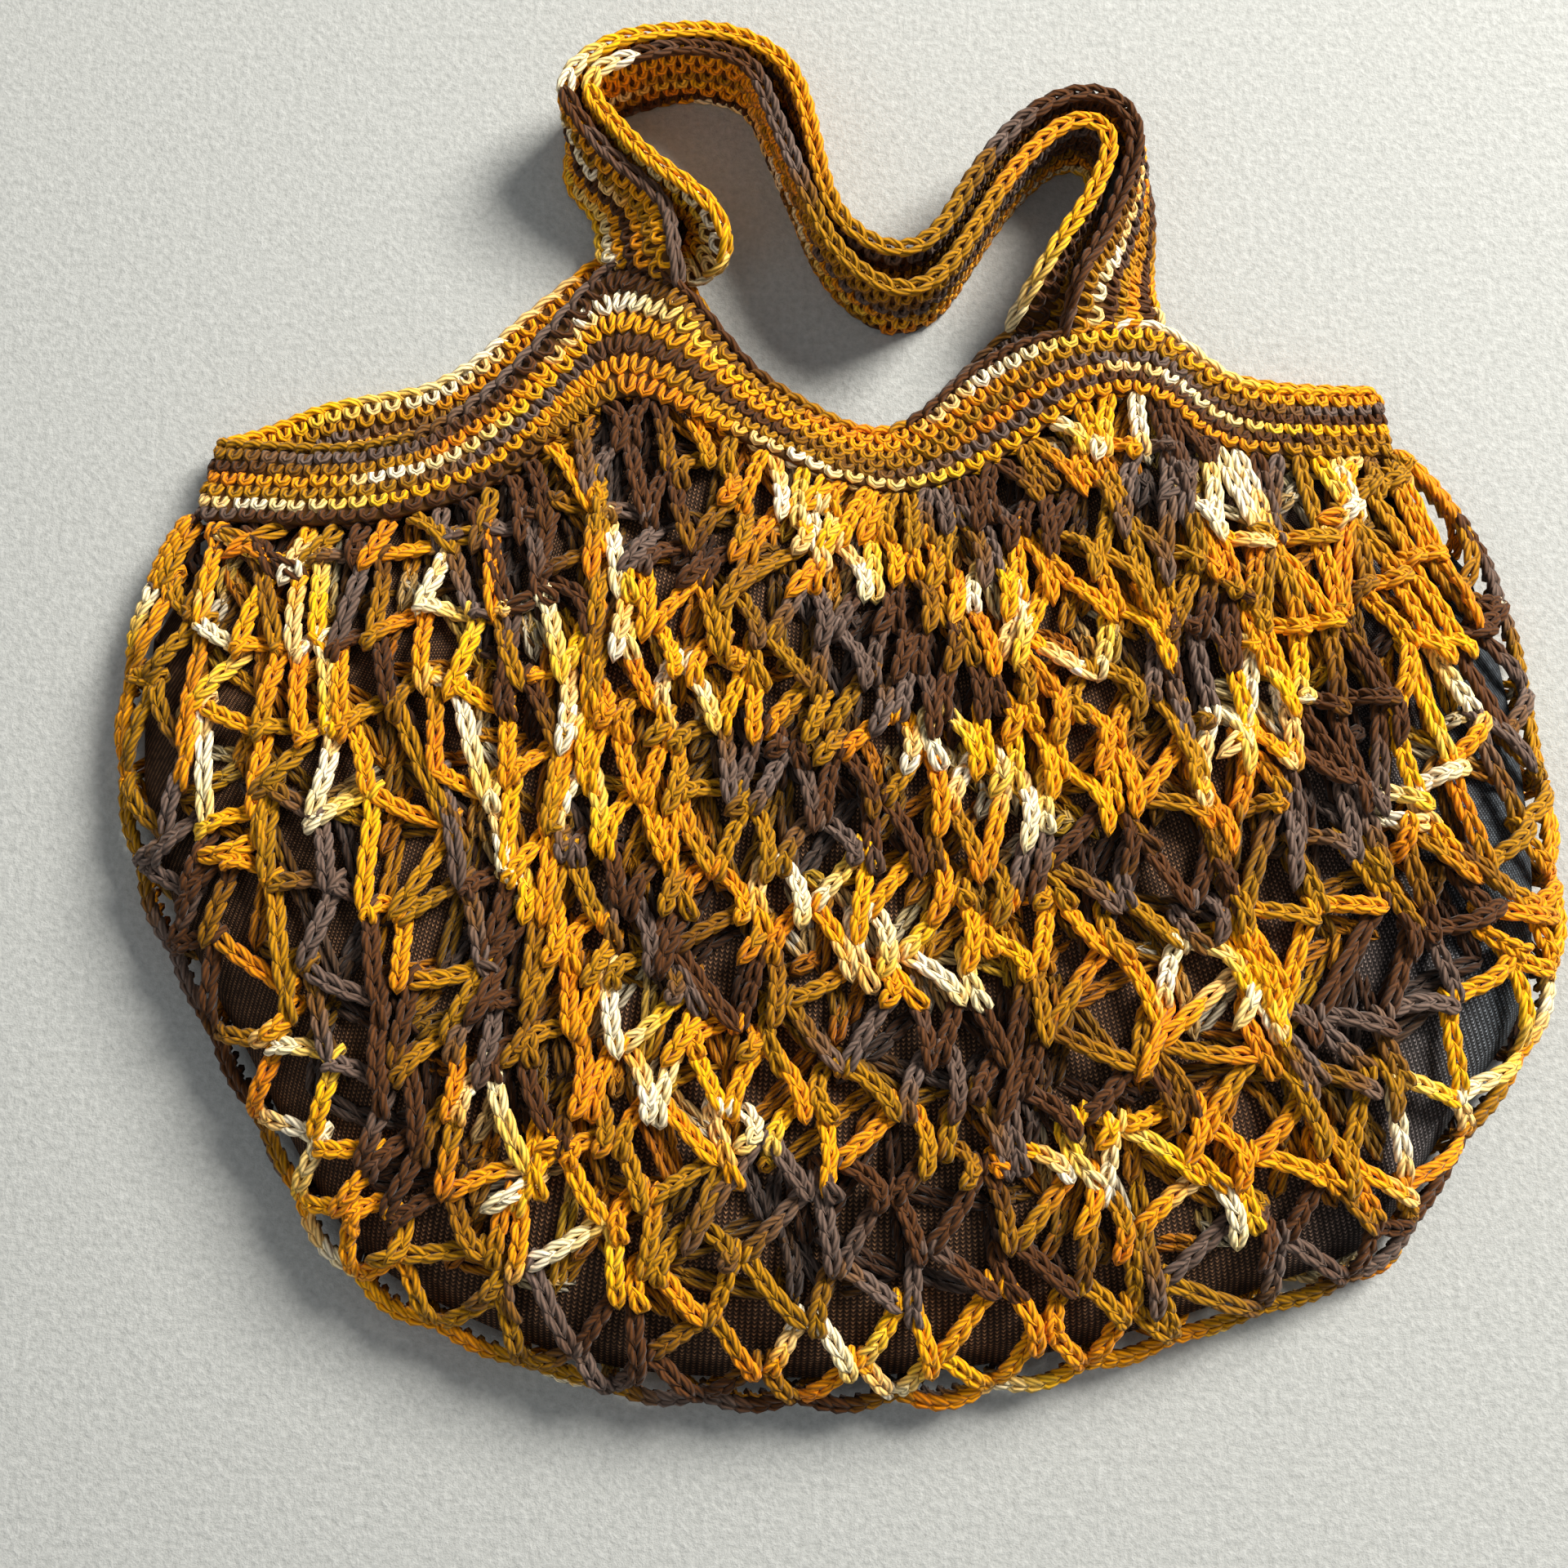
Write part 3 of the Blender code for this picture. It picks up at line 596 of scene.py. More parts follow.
def lay_net(
    panel, pieces, random, links_each, shape, sides, odd=0, depth=0.0, scatter=1.0, wraps=2, first_row=1
):
    """Lays the net's links and knots into pieces, a list of (last half column, yarns)."""
    legs, tops = net_legs(panel, random, odd, scatter, first_row)
    ends = [on_bag(panel, legs[:, k], legs[:, k + 1])[0] for k in (0, 2)]
    dist = np.linalg.norm(ends[1] - ends[0], axis=1)
    on_rim = legs[:, 7] > 0
    legs, dist, on_rim = (part[~(on_rim & (dist < 0.004))] for part in (legs, dist, on_rim))
    at_fold = legs[:, 3] == 0
    lengths = LEG_LENGTH * (1 + random.normal(0, 0.05, len(legs)) + 0.04 * legs[:, 6])
    over = np.where(at_fold, 0.0, np.clip(lengths - dist, 0, 0.0068))
    over = np.where(on_rim, over * 0.6, over)
    counts = np.clip(np.round((dist + over) / LEG_LENGTH * links_each), 1, links_each).astype(int)
    counts = np.where(dist > 0.6 * LEG_LENGTH, links_each, counts)
    roll = random.normal(0, 0.16, len(legs)) + 0.28 * legs[:, 6]
    bow = random.normal(0, 0.0007, len(legs))
    high = random.normal(0, 0.0004, len(legs)) + 0.0005 * legs[:, 6]
    for count in range(1, links_each + 1):
        of = counts == count
        if not of.any():
            continue
        c0, s0, c1, s1, half, row, side, _ = (legs[of, k][:, None] for k in range(8))
        t = (np.arange(count + 1) / count)[None, :]
        # A leg goes sideways first and then hangs down over the top of the next arch
        hang = (over[of] / 0.0068)[:, None]
        # Towards the sides the legs keep more of their slope
        free = 0.9 * smoothstep((np.abs(half / 2 - 14) - 5) / 5)
        hang = hang * (1 - free)
        wide = 2 * np.sqrt(np.clip(dist[of] ** 2 - ROW_PITCH**2, 0.004**2, None))[:, None]
        apart = side * (0.0016 * (1 - t) ** 2 - 0.0021 * t**2) * (s1 > 0) / wide
        sideways = (t + hang * t * (1 - t)) * (1 + free * (over[of] / dist[of])[:, None])
        column = np.clip(c0 + (c1 - c0) * sideways + apart, 0, COLUMNS)
        share = np.clip(s0 + (s1 - s0) * t * (1 + over[of][:, None] / ROW_PITCH), 0, 1)
        points, normal = on_bag(panel, column, share)
        across = unit(np.cross(points[:, -1:] - points[:, :1], normal))
        tuck = 0.0013 + 0.28 * over[of][:, None]
        lift = 0.0009 + 0.20 * over[of][:, None] + high[of][:, None]
        height = -tuck + (tuck + lift) * smoothstep(t / 0.65) - 0.0009 * smoothstep((t - 0.75) / 0.25)
        height = np.where(legs[of, 7][:, None] > 0, height * 0.6, height) - depth
        points = points + normal * height[:, :, None]
        points = points + across * (bow[of][:, None] * np.sin(t * math.pi))[:, :, None]
        travel = points[:, 1:] - points[:, :-1]
        pitch = np.linalg.norm(travel, axis=2)
        along = travel / pitch[:, :, None]
        turn = roll[of][:, None, None]
        face = unit(normal[:, :-1] * np.cos(turn) - across[:, :-1] * np.sin(turn))
        # The left legs are worked upwards and the right ones downwards
        upwards = (side < 0)[:, :, None]
        base = np.where(upwards, points[:, 1:], points[:, :-1])
        along = np.where(upwards, -along, along)
        place = (np.arange(count)[None, :] + 0.5) / count
        dye = arch_dye(panel, row, half, side, place)
        first = 0
        for last, yarns in pieces:
            here = ((half[:, 0] > first) | (first == 0)) & (half[:, 0] <= last)
            first = last
            links(
                yarns, base[here].reshape(-1, 3), along[here].reshape(-1, 3),
                face[here].reshape(-1, 3), pitch[here].ravel(), LINK_HALF_WIDTH, YARN,
                sides, dye[here].ravel(), shape,
            )
    if wraps:
        lay_knots(panel, pieces, tops, random, wraps, depth)


def lay_knots(panel, pieces, tops, random, wraps, depth):
    """Turns of yarn over the top of each arch."""
    column, share, half, row = tops
    point, normal = on_bag(panel, column, share)
    rise = rim_line(panel, column) - point
    rise = unit(rise - normal * (rise * normal).sum(axis=1, keepdims=True))
    across = unit(np.cross(rise, normal))
    count = 6
    angle = 2 * math.pi * np.arange(count) / count
    for shift in np.arange(wraps) - (wraps - 1) / 2:
        centre = point + across * (shift * 2.1 * YARN) + rise * 0.0008 - normal * (0.0007 + depth)
        centre = centre + random.normal(0, 0.0003, centre.shape)
        up = unit(rise + across * shift * 0.5)
        paths = (
            centre[:, None, :]
            + up[:, None, :] * (np.cos(angle) * 0.0029)[None, :, None]
            + normal[:, None, :] * (np.sin(angle) * 0.0022)[None, :, None]
        )
        ups = np.broadcast_to(across[:, None, :], paths.shape)
        dye = arch_dye(panel, row, half, 0, 0.0) + 0.004 * shift
        first = 0
        for last, yarns in pieces:
            here = ((half > first) | (first == 0)) & (half <= last)
            first = last
            yarns.lay(paths[here], ups[here], YARN, 5 if wraps > 1 else 4, True, dye[here])


def lay_fold(panel, pieces, random, shape, sides):
    """Garlands of links along the fold, from knot to knot, which scallop the bag's outline."""
    count = 6
    t = (np.arange(count + 1) / count)[None, :]
    start = np.arange(COLUMNS)[:, None]
    column = (start + t).ravel()
    points = bag_surface(panel, column, 0.0).reshape(-1, count + 1, 3)
    front, back = (bag_normals(side, column, 0.0) for side in ("front", "back"))
    out = unit(front + back)
    out[:, 2] = 0
    out = unit(out).reshape(-1, count + 1, 3)
    up = np.array([0.0, 0.0, 1.0])
    is_front = panel == "front"
    sag = (0.0022 if is_front else 0.0036) + random.normal(0, 0.0009, (COLUMNS, 1, 1))
    level = 0.0016 if is_front else -0.0036
    points = points + out * sag * np.sin(t * math.pi)[:, :, None] - out * 0.0008
    points = points + up * (level + random.normal(0, 0.0005, (COLUMNS, 1, 1)))
    travel = points[:, 1:] - points[:, :-1]
    pitch = np.linalg.norm(travel, axis=2)
    face = unit(out[:, :-1] * (0.8 if is_front else 1.0) + up * (1.0 if is_front else 0.35))
    dye = arch_dye(panel, 0.0, 2 * start, 1, t[:, :-1] * 2)
    first = 0
    for last, yarns in pieces:
        here = (2 * start[:, 0] >= first) & (2 * start[:, 0] < last)
        first = last
        links(
            yarns, points[here][:, :-1].reshape(-1, 3), unit(travel)[here].reshape(-1, 3),
            face[here].reshape(-1, 3), pitch[here].ravel(), LINK_HALF_WIDTH, YARN, sides,
            dye[here].ravel(), shape,
        )
    for column, (_, yarns) in ((0, pieces[0]), (COLUMNS, pieces[-1])):
        lay_end(panel, column, yarns, shape, sides)


def lay_end(panel, column, yarns, shape, sides):
    """A chain up one end of the bag, from the fold to the corner of the rim."""
    count = 5
    t = np.arange(count + 1) / count
    points = bag_surface(panel, np.full(count + 1, column), t)
    out = unit(np.array([1.0 if column else -1.0, 0.4, 0.0]))
    up = np.array([0.0, 0.0, 1.0])
    level = 0.0010 if panel == "front" else -0.0030
    points = points + out * (0.0012 * np.sin(t * math.pi))[:, None] + up * level
    travel = np.diff(points, axis=0)
    face = np.broadcast_to(unit(out * 0.8 + up), travel.shape)
    dye = arch_dye(panel, 1.0, 2.0 * column, 1, t[:-1])
    pitch = np.linalg.norm(travel, axis=1)
    links(yarns, points[:-1], unit(travel), face, pitch, LINK_HALF_WIDTH, YARN, sides, dye, shape)


# Rim band


def foot_of(panel, side):
    """The ends and the middle of the rim's edge under a strap, outer one first, and the way up."""
    row = next(foot for foot in FEET if foot[:2] == (panel, side))
    _, _, first, last, across, up, lift, turn, tilt = row
    centre = np.array([across * BAG_WIDTH, up * BAG_DEPTH, lift * RIM_HEIGHT])
    turn, tilt = math.radians(turn), math.radians(tilt)
    along = np.array([math.cos(turn) * math.cos(tilt), math.sin(turn) * math.cos(tilt), math.sin(tilt)])
    half = along * STRAP_WIDTH / 2
    centre[2] -= min(centre[2] - abs(half[2]) - BAND_LEVEL, 0.0)
    middle = (first + last) / 2
    rise = centre - rim_line(panel, middle)[0]
    away = unit(rise - along * rise.dot(along))
    return {
        "columns": (first, middle, last),
        "edge": (centre - half, centre, centre + half),
        "away": away,
        "normal": unit(np.cross(along, away)),
    }


FEET_BY_PANEL = {
    panel: [foot_of(panel, side) for side in ("left", "right")] for panel in ("front", "back")
}


def outward(panel, normal):
    up = 1 if panel == "front" else -1
    return normal if normal[2] * up > 0 else -normal


def rim_frame():
    """Lower and upper edge of the rim band all round, with their outward normals, closed."""
    front = [("front", column) for column in range(COLUMNS + 1)]
    stations = front + [("back", column) for column in range(COLUMNS - 1, 0, -1)]
    lower, upper = [], []
    for panel, column in stations:
        low = rim_line(panel, column)[0]
        row = read_table(FRONT_RIM if panel == "front" else BACK_RIM, column)[0]
        high = low + row[3:6] * RIM_WIDTH
        high[2] = max(high[2], BAND_LEVEL)
        for foot in FEET_BY_PANEL[panel]:
            if column in foot["columns"]:
                high = foot["edge"][foot["columns"].index(column)]
        lower.append(low)
        upper.append(high)
    count = len(stations)
    centre = sum(lower) / count
    bottom, top = [], []
    for i, (panel, column) in enumerate(stations):
        rise = upper[i] - lower[i]
        for line, found in ((lower, bottom), (upper, top)):
            along = unit(line[i] - line[i - 1]) + unit(line[(i + 1) % count] - line[i])
            normal = unit(np.cross(along, rise))
            if column in (0, COLUMNS):
                normal = normal if normal[0] * (lower[i] - centre)[0] > 0 else -normal
            else:
                normal = outward(panel, normal)
            found.append(normal)
        for foot in FEET_BY_PANEL[panel]:
            if column in foot["columns"]:
                top[i] = outward(panel, foot["normal"])
    return np.array(lower), np.array(upper), np.array(bottom), np.array(top)


def rounded(keys, values, at, reach, closed):
    """Values at given places, averaged over a short reach, which rounds the corners."""
    total = keys[-1]
    found = 0
    offsets = np.linspace(-reach, reach, 7)
    for offset in offsets:
        place = at + offset
        place = place % total if closed else np.clip(place, 0, total)
        found = found + sample(keys, values, place)
    return found / len(offsets)


def strap_edges(panel, table):
    """The standing edge and the other edge of a strap, from its left foot to its right."""
    left, right = FEET_BY_PANEL[panel]
    start, end = left["edge"][1], right["edge"][1]
    standing, other = [left["edge"][2]], [left["edge"][0]]
    for across, up, lean_across, lean_up, lift in table:
        place = start + (end - start) * across
        lean = np.array([lean_across, lean_up]) * STRAP_WIDTH
        flat = math.hypot(*lean) / STRAP_WIDTH
        low = lift * STRAP_WIDTH + BAND_LEVEL * flat
        high = low + STRAP_WIDTH * math.sqrt(1 - flat**2)
        x, y = place[0], place[1] + up * STRAP_RISE
        standing.append(np.array([x, y, high]))
        other.append(np.array([x + lean[0], y + lean[1], low]))
    standing.append(right["edge"][0])
    other.append(right["edge"][2])
    return smooth_line(standing, 8), smooth_line(other, 8)


def strap_normals(panel, standing, other):
    left, right = FEET_BY_PANEL[panel]
    middle = (standing + other) / 2
    travel = np.gradient(middle, axis=0)
    normal = unit(np.cross(travel, standing - other))
    ends = []
    for foot, found in ((left, normal[0]), (right, normal[-1])):
        ends.append(foot["normal"] if foot["normal"].dot(found) > 0 else -foot["normal"])
    share = np.linspace(0, 1, len(normal))[:, None] * 14
    near_left = 1 - smoothstep(share)
    near_right = 1 - smoothstep(14 - share)
    return unit(normal * (1 - near_left - near_right) + ends[0] * near_left + ends[1] * near_right)


def lay_band(yarns, low, high, low_normal, high_normal, rows, closed, dyes, edges):
    """Stitches on both faces of a band and a braid along its edges.
    dyes gives each row's start and step in the dye's repeat; edges has a chart for each braid,
    the station along the band and the place in the repeat there."""
    middle = (low + high) / 2
    keys = along_line(middle)
    count = round(keys[-1] / STITCH_PITCH)
    pitch = keys[-1] / count
    random = np.random.default_rng(rows * 1000 + count)
    reach = 0.006 if closed else 0.002

    def place(at, share):
        a = rounded(keys, low, at, reach, closed)
        b = rounded(keys, high, at, reach, closed)
        na = rounded(keys, low_normal, at, reach, closed)
        nb = rounded(keys, high_normal, at, reach, closed)
        return a + (b - a) * share, b - a, unit(na + (nb - na) * share)

    for row in range(rows):
        share = 0.035 + 0.93 * (row + 0.5) / rows
        at = (np.arange(count) + 0.5 * (row % 2)) * pitch
        if not closed:
            at = np.clip(at + 0.25 * pitch, 0.3 * pitch, keys[-1] - 0.3 * pitch)
        at_next = (at + 0.3 * pitch) % keys[-1] if closed else np.minimum(at + 0.3 * pitch, keys[-1])
        at_last = (at - 0.3 * pitch) % keys[-1] if closed else np.maximum(at - 0.3 * pitch, 0)
        centre, rise, normal = place(at, share)
        ahead, _, _ = place(at_next, share)
        behind, _, _ = place(at_last, share)
        along = unit(ahead - behind)
        width = np.linalg.norm(ahead - behind, axis=1) / 0.6
        tall = 0.93 * np.linalg.norm(rise, axis=1) / rows
        rise = unit(rise - along * (rise * along).sum(axis=1, keepdims=True))
        normal = unit(np.cross(along, rise)) * np.sign((np.cross(along, rise) * normal).sum(axis=1))[:, None]
        start, step = dyes[row % len(dyes)]
        dye = start + step * np.arange(count) + random.normal(0, 0.006, count)
        shape = np.array(STITCH)
        for face in (1, -1):
            wobble = random.normal(0, 0.00022, (count, 1, 3))
            paths = (
                centre[:, None, :]
                + along[:, None, :] * shape[None, :, 0, None] * width[:, None, None]
                + rise[:, None, :] * shape[None, :, 1, None] * tall[:, None, None]
                + (normal * face)[:, None, :]
                * (0.0007 + shape[:, 2] * BAND_YARN)[None, :, None]
                + wobble
            )
            ups = np.broadcast_to((normal * face)[:, None, :], paths.shape)
            yarns.lay(paths, ups, BAND_YARN, 5, False, dye)
    for share, sign, chart in edges:
        at = np.arange(count) * pitch
        centre, rise, normal = place(at, share)
        ahead, _, _ = place((at + pitch) % keys[-1] if closed else np.minimum(at + pitch, keys[-1]), share)
        along = unit(ahead - centre)
        reach_along = np.linalg.norm(ahead - centre, axis=1)
        face = unit(rise) * sign
        base = centre + face * 0.0003
        keep = reach_along > 0.3 * pitch
        turns = np.array(chart)
        ends = keys[np.round(turns[:, 0] / turns[-1, 0] * (len(keys) - 1)).astype(int)]
        dye = np.interp(at, ends, turns[:, 1]) + random.normal(0, 0.004, count)
        links(
            yarns, base[keep], along[keep], face[keep], reach_along[keep], 0.0017, BAND_YARN, 6, dye[keep]
        )


def core_piece(name, low, high, low_normal, high_normal, rows, closed, material):
    """A thin closed cloth inside a band, coloured dark as painted shade, which shows between its stitches."""
    middle = (low + high) / 2
    keys = along_line(middle)
    count = round(keys[-1] / STITCH_PITCH) * 2
    at = np.arange(count + (0 if closed else 1)) * keys[-1] / count
    reach = 0.006 if closed else 0.002
    a = rounded(keys, low, at, reach, closed)
    b = rounded(keys, high, at, reach, closed)
    na = unit(rounded(keys, low_normal, at, reach, closed))
    nb = unit(rounded(keys, high_normal, at, reach, closed))
    shares = np.linspace(0.04, 0.96, rows + 1)
    wall = 0.0010
    outer, inner = [], []
    for share in shares:
        middle = a + (b - a) * share
        normal = unit(na + (nb - na) * share)
        outer.append(middle + normal * wall)
        inner.append(middle - normal * wall)
    section = np.stack(outer + inner[::-1], axis=1)
    rings, around, _ = section.shape
    points = section.reshape(-1, 3) + DRAWING_SHIFT
    faces = []
    last = rings if closed else rings - 1
    for i in range(last):
        k = (i + 1) % rings
        for j in range(around):
            m = (j + 1) % around
            faces.append((i * around + j, i * around + m, k * around + m, k * around + j))
    if not closed:
        faces.append(tuple(range(around))[::-1])
        faces.append(tuple((rings - 1) * around + j for j in range(around)))
    mesh = bpy.data.meshes.new(name)
    mesh.from_pydata(points.tolist(), [], faces)
    mesh.materials.append(material)
    made = bpy.data.objects.new(name, mesh)
    bpy.context.collection.objects.link(made)
    face_outwards(made)
    mesh.shade_smooth()
    return made


def face_outwards(piece):
    """Turns all faces of a closed piece outwards."""
    bpy.ops.object.select_all(action="DESELECT")
    piece.select_set(True)
    bpy.context.view_layer.objects.active = piece
    bpy.ops.object.mode_set(mode="EDIT")
    bpy.ops.mesh.select_all(action="SELECT")
    bpy.ops.mesh.normals_make_consistent(inside=False)
    bpy.ops.object.mode_set(mode="OBJECT")


# Lining


LINING_DEPTH = 0.0052
LINING_BACK_DEPTH = 0.0032


def make_lining(material):
    """A soft knitted pouch inside the net, which shows dark through its gaps."""
    columns = np.linspace(0.6, COLUMNS - 0.6, 2 * COLUMNS + 1)
    shares = np.concatenate([np.linspace(0, 0.2, 7)[:-1], np.linspace(0.2, 0.985, 18)])
    rows = []
    for panel, depth in (("back", LINING_BACK_DEPTH), ("front", LINING_DEPTH)):
        ordered = shares[::-1] if panel == "back" else shares[1:]
        for share in ordered:
            points = bag_surface(panel, columns, share)
            normals = bag_normals(panel, columns, share)
            if share == 0:
                normals = unit(bag_normals("front", columns, 0.0) + bag_normals("back", columns, 0.0))
            deep = LINING_DEPTH if share == 0 else depth
            row = points - normals * deep
            row[:, 2] = np.maximum(row[:, 2], BACK_LEVEL + LINING_BACK_DEPTH)
            rows.append(row)
    grid = np.stack(rows)
    across = len(columns)
    points = grid.reshape(-1, 3) + DRAWING_SHIFT
    faces = []
    for i in range(len(grid) - 1):
        for j in range(across - 1):
            a = i * across + j
            faces.append((a, a + 1, a + across + 1, a + across))
    mesh = bpy.data.meshes.new("lining_pouch")
    mesh.from_pydata(points.tolist(), [], faces)
    layer = mesh.uv_layers.new(name="knit")
    places = np.array([[j / 2, i] for i in range(len(grid)) for j in range(across)], dtype=float)
    places[:, 0] *= 0.022
    down = np.concatenate([[0], np.cumsum(np.linalg.norm(np.diff(grid[:, across // 2], axis=0), axis=1))])
    places[:, 1] = down[places[:, 1].astype(int)]
    corners = np.empty(len(mesh.loops), dtype=np.int32)
    mesh.loops.foreach_get("vertex_index", corners)
    layer.data.foreach_set("uv", places[corners].astype(np.float32).ravel())
    mesh.materials.append(material)
    made = bpy.data.objects.new("lining_pouch", mesh)
    bpy.context.collection.objects.link(made)
    bpy.ops.object.select_all(action="DESELECT")
    made.select_set(True)
    bpy.context.view_layer.objects.active = made
    wall = made.modifiers.new("wall", "SOLIDIFY")
    wall.thickness = 0.0010
    wall.offset = 0.0
    bpy.ops.object.modifier_apply(modifier=wall.name)
    made.data.shade_smooth()
    return made


# Materials


def node_maker(name):
    material = bpy.data.materials.new(name)
    material.use_nodes = True
    nodes, wires = material.node_tree.nodes, material.node_tree.links
    nodes.clear()

    def node(kind, inputs=(), **settings):
        made = nodes.new(kind)
        for key, value in settings.items():
            setattr(made, key, value)
        for key, value in dict(inputs).items():
            if isinstance(value, bpy.types.NodeSocket):
                wires.new(value, made.inputs[key])
            else:
                made.inputs[key].default_value = value
        return made

    return material, node, wires


def linear(rgb):
    """Colour from the 0 to 255 values of a screen."""
    found = []
    for value in rgb:
        value = value / 255
        found.append(value / 12.92 if value <= 0.04045 else ((value + 0.055) / 1.055) ** 2.4)
    return (*found, 1.0)


# The dyes of the yarn in their order along it: place in the repeat and colour
DYES = (
    (0.000, (255, 240, 210)),
    (0.040, (255, 234, 180)),
    (0.060, (252, 208, 120)),
    (0.090, (250, 198, 76)),
    (0.120, (246, 170, 18)),
    (0.290, (236, 146, 10)),
    (0.330, (186, 130, 22)),
    (0.440, (160, 114, 28)),
    (0.480, (116, 78, 36)),
    (0.520, (110, 92, 82)),
    (0.590, (96, 76, 64)),
    (0.620, (86, 52, 26)),
    (0.760, (78, 46, 20)),
    (0.795, (144, 96, 22)),
    (0.860, (178, 124, 22)),
    (0.890, (232, 134, 10)),
    (0.955, (246, 162, 18)),
    (0.980, (252, 208, 136)),
)


def math_node(node, operation, first, second=0.0):
    return node("ShaderNodeMath", {0: first, 1: second}, operation=operation).outputs[0]


def yarn_material(name, shade=1.0):
    """Space dyed cotton yarn of four plies, matt and slightly fuzzy."""
    material, node, wires = node_maker(name)
    place = node("ShaderNodeUVMap", uv_map="strand").outputs["UV"]
    parts = node("ShaderNodeSeparateXYZ", {"Vector": place}).outputs
    dye = node("ShaderNodeAttribute", attribute_name="dye", attribute_type="GEOMETRY").outputs["Fac"]
    where = node("ShaderNodeTexCoord").outputs["Object"]
    slow = node("ShaderNodeTexNoise", {"Vector": where, "Scale": 70.0, "Detail": 2.0}).outputs[0]
    fine = node("ShaderNodeTexNoise", {"Vector": where, "Scale": 900.0, "Detail": 3.0}).outputs[0]
    drift = math_node(node, "MULTIPLY", slow, 0.05)
    shifted = math_node(node, "FRACT", math_node(node, "ADD", dye, drift))
    ramp = node("ShaderNodeValToRGB", {"Fac": shifted})
    stops = ramp.color_ramp.elements
    while len(stops) < len(DYES):
        stops.new(1.0)
    for stop, (at, colour) in zip(stops, DYES):
        stop.position = at
        stop.color = linear(colour)
    # Plies wind round the yarn; their relief is also painted into the colour, as painted shade in the grooves between
    # them and a little painted light on their crests
    turns = math_node(node, "MULTIPLY", parts["X"], 4.0)
    wind = math_node(node, "MULTIPLY", parts["Y"], 4.0 / 0.017)
    phase = math_node(node, "MULTIPLY", math_node(node, "ADD", turns, wind), 2 * math.pi)
    ply = math_node(node, "MULTIPLY_ADD", math_node(node, "SINE", phase), 0.5)
    ply.node.inputs[2].default_value = 0.5
    ridge = math_node(node, "POWER", ply, 0.6)
    fibre_place = node(
        "ShaderNodeCombineXYZ",
        {
            "X": math_node(node, "MULTIPLY", math_node(node, "ADD", turns, wind), 6.0),
            "Y": math_node(node, "MULTIPLY", parts["Y"], 260.0),
            "Z": math_node(node, "MULTIPLY", dye, 40.0),
        },
    ).outputs[0]
    fibre = node("ShaderNodeTexNoise", {"Vector": fibre_place, "Scale": 1.0, "Detail": 2.0}).outputs[0]
    # Painted shade in the grooves between the plies and painted light on their crests
    painted_ply_shade_and_light = node("ShaderNodeMapRange", {"Value": ridge, "To Min": 0.42, "To Max": 1.12}).outputs[0]
    streak = node("ShaderNodeMapRange", {"Value": fibre, "From Min": 0.25, "From Max": 0.75, "To Min": 0.80, "To Max": 1.18}).outputs[0]
    mottle = node("ShaderNodeMapRange", {"Value": fine, "From Min": 0.3, "From Max": 0.7, "To Min": 0.90, "To Max": 1.10}).outputs[0]
    value = math_node(node, "MULTIPLY", math_node(node, "MULTIPLY", painted_ply_shade_and_light, streak), mottle)
    # Painted shade: a shade below 1 darkens the whole colour, for a copy of the yarn that lies deep in the bag
    value = math_node(node, "MULTIPLY", value, shade)
    colour = node("ShaderNodeHueSaturation", {"Color": ramp.outputs["Color"], "Value": value, "Saturation": 1.05}).outputs[0]
    height = math_node(node, "ADD", ridge, math_node(node, "MULTIPLY", fibre, 0.35))
    bump = node("ShaderNodeBump", {"Height": height, "Strength": 0.9, "Distance": 0.0004}).outputs[0]
    shader = node(
        "ShaderNodeBsdfPrincipled",
        {
            "Base Color": colour,
            "Roughness": 0.78,
            "Specular IOR Level": 0.15,
            "Sheen Weight": 0.08,
            "Sheen Roughness": 0.5,
            "Normal": bump,
        },
    )
    node("ShaderNodeOutputMaterial", {"Surface": shader.outputs[0]})
    return material


def painted_shade_core_material():
    """Cloth deep in the bands, coloured dark brown as painted shade of the stitches over it."""
    material, node, wires = node_maker("band_core_painted_shade")
    where = node("ShaderNodeTexCoord").outputs["Object"]
    patch = node("ShaderNodeTexNoise", {"Vector": where, "Scale": 160.0, "Detail": 4.0}).outputs[0]
    ramp = node("ShaderNodeValToRGB", {"Fac": patch})
    # Painted shade: dark browns for the shade under the stitches, varied by a noise
    ramp.color_ramp.elements[0].color = linear((38, 24, 12))
    ramp.color_ramp.elements[1].color = linear((120, 78, 30))
    bump = node("ShaderNodeBump", {"Height": patch, "Strength": 0.8, "Distance": 0.0006}).outputs[0]
    shader = node("ShaderNodeBsdfPrincipled", {"Base Color": ramp.outputs[0], "Roughness": 0.9, "Specular IOR Level": 0.2, "Normal": bump})
    node("ShaderNodeOutputMaterial", {"Surface": shader.outputs[0]})
    return material


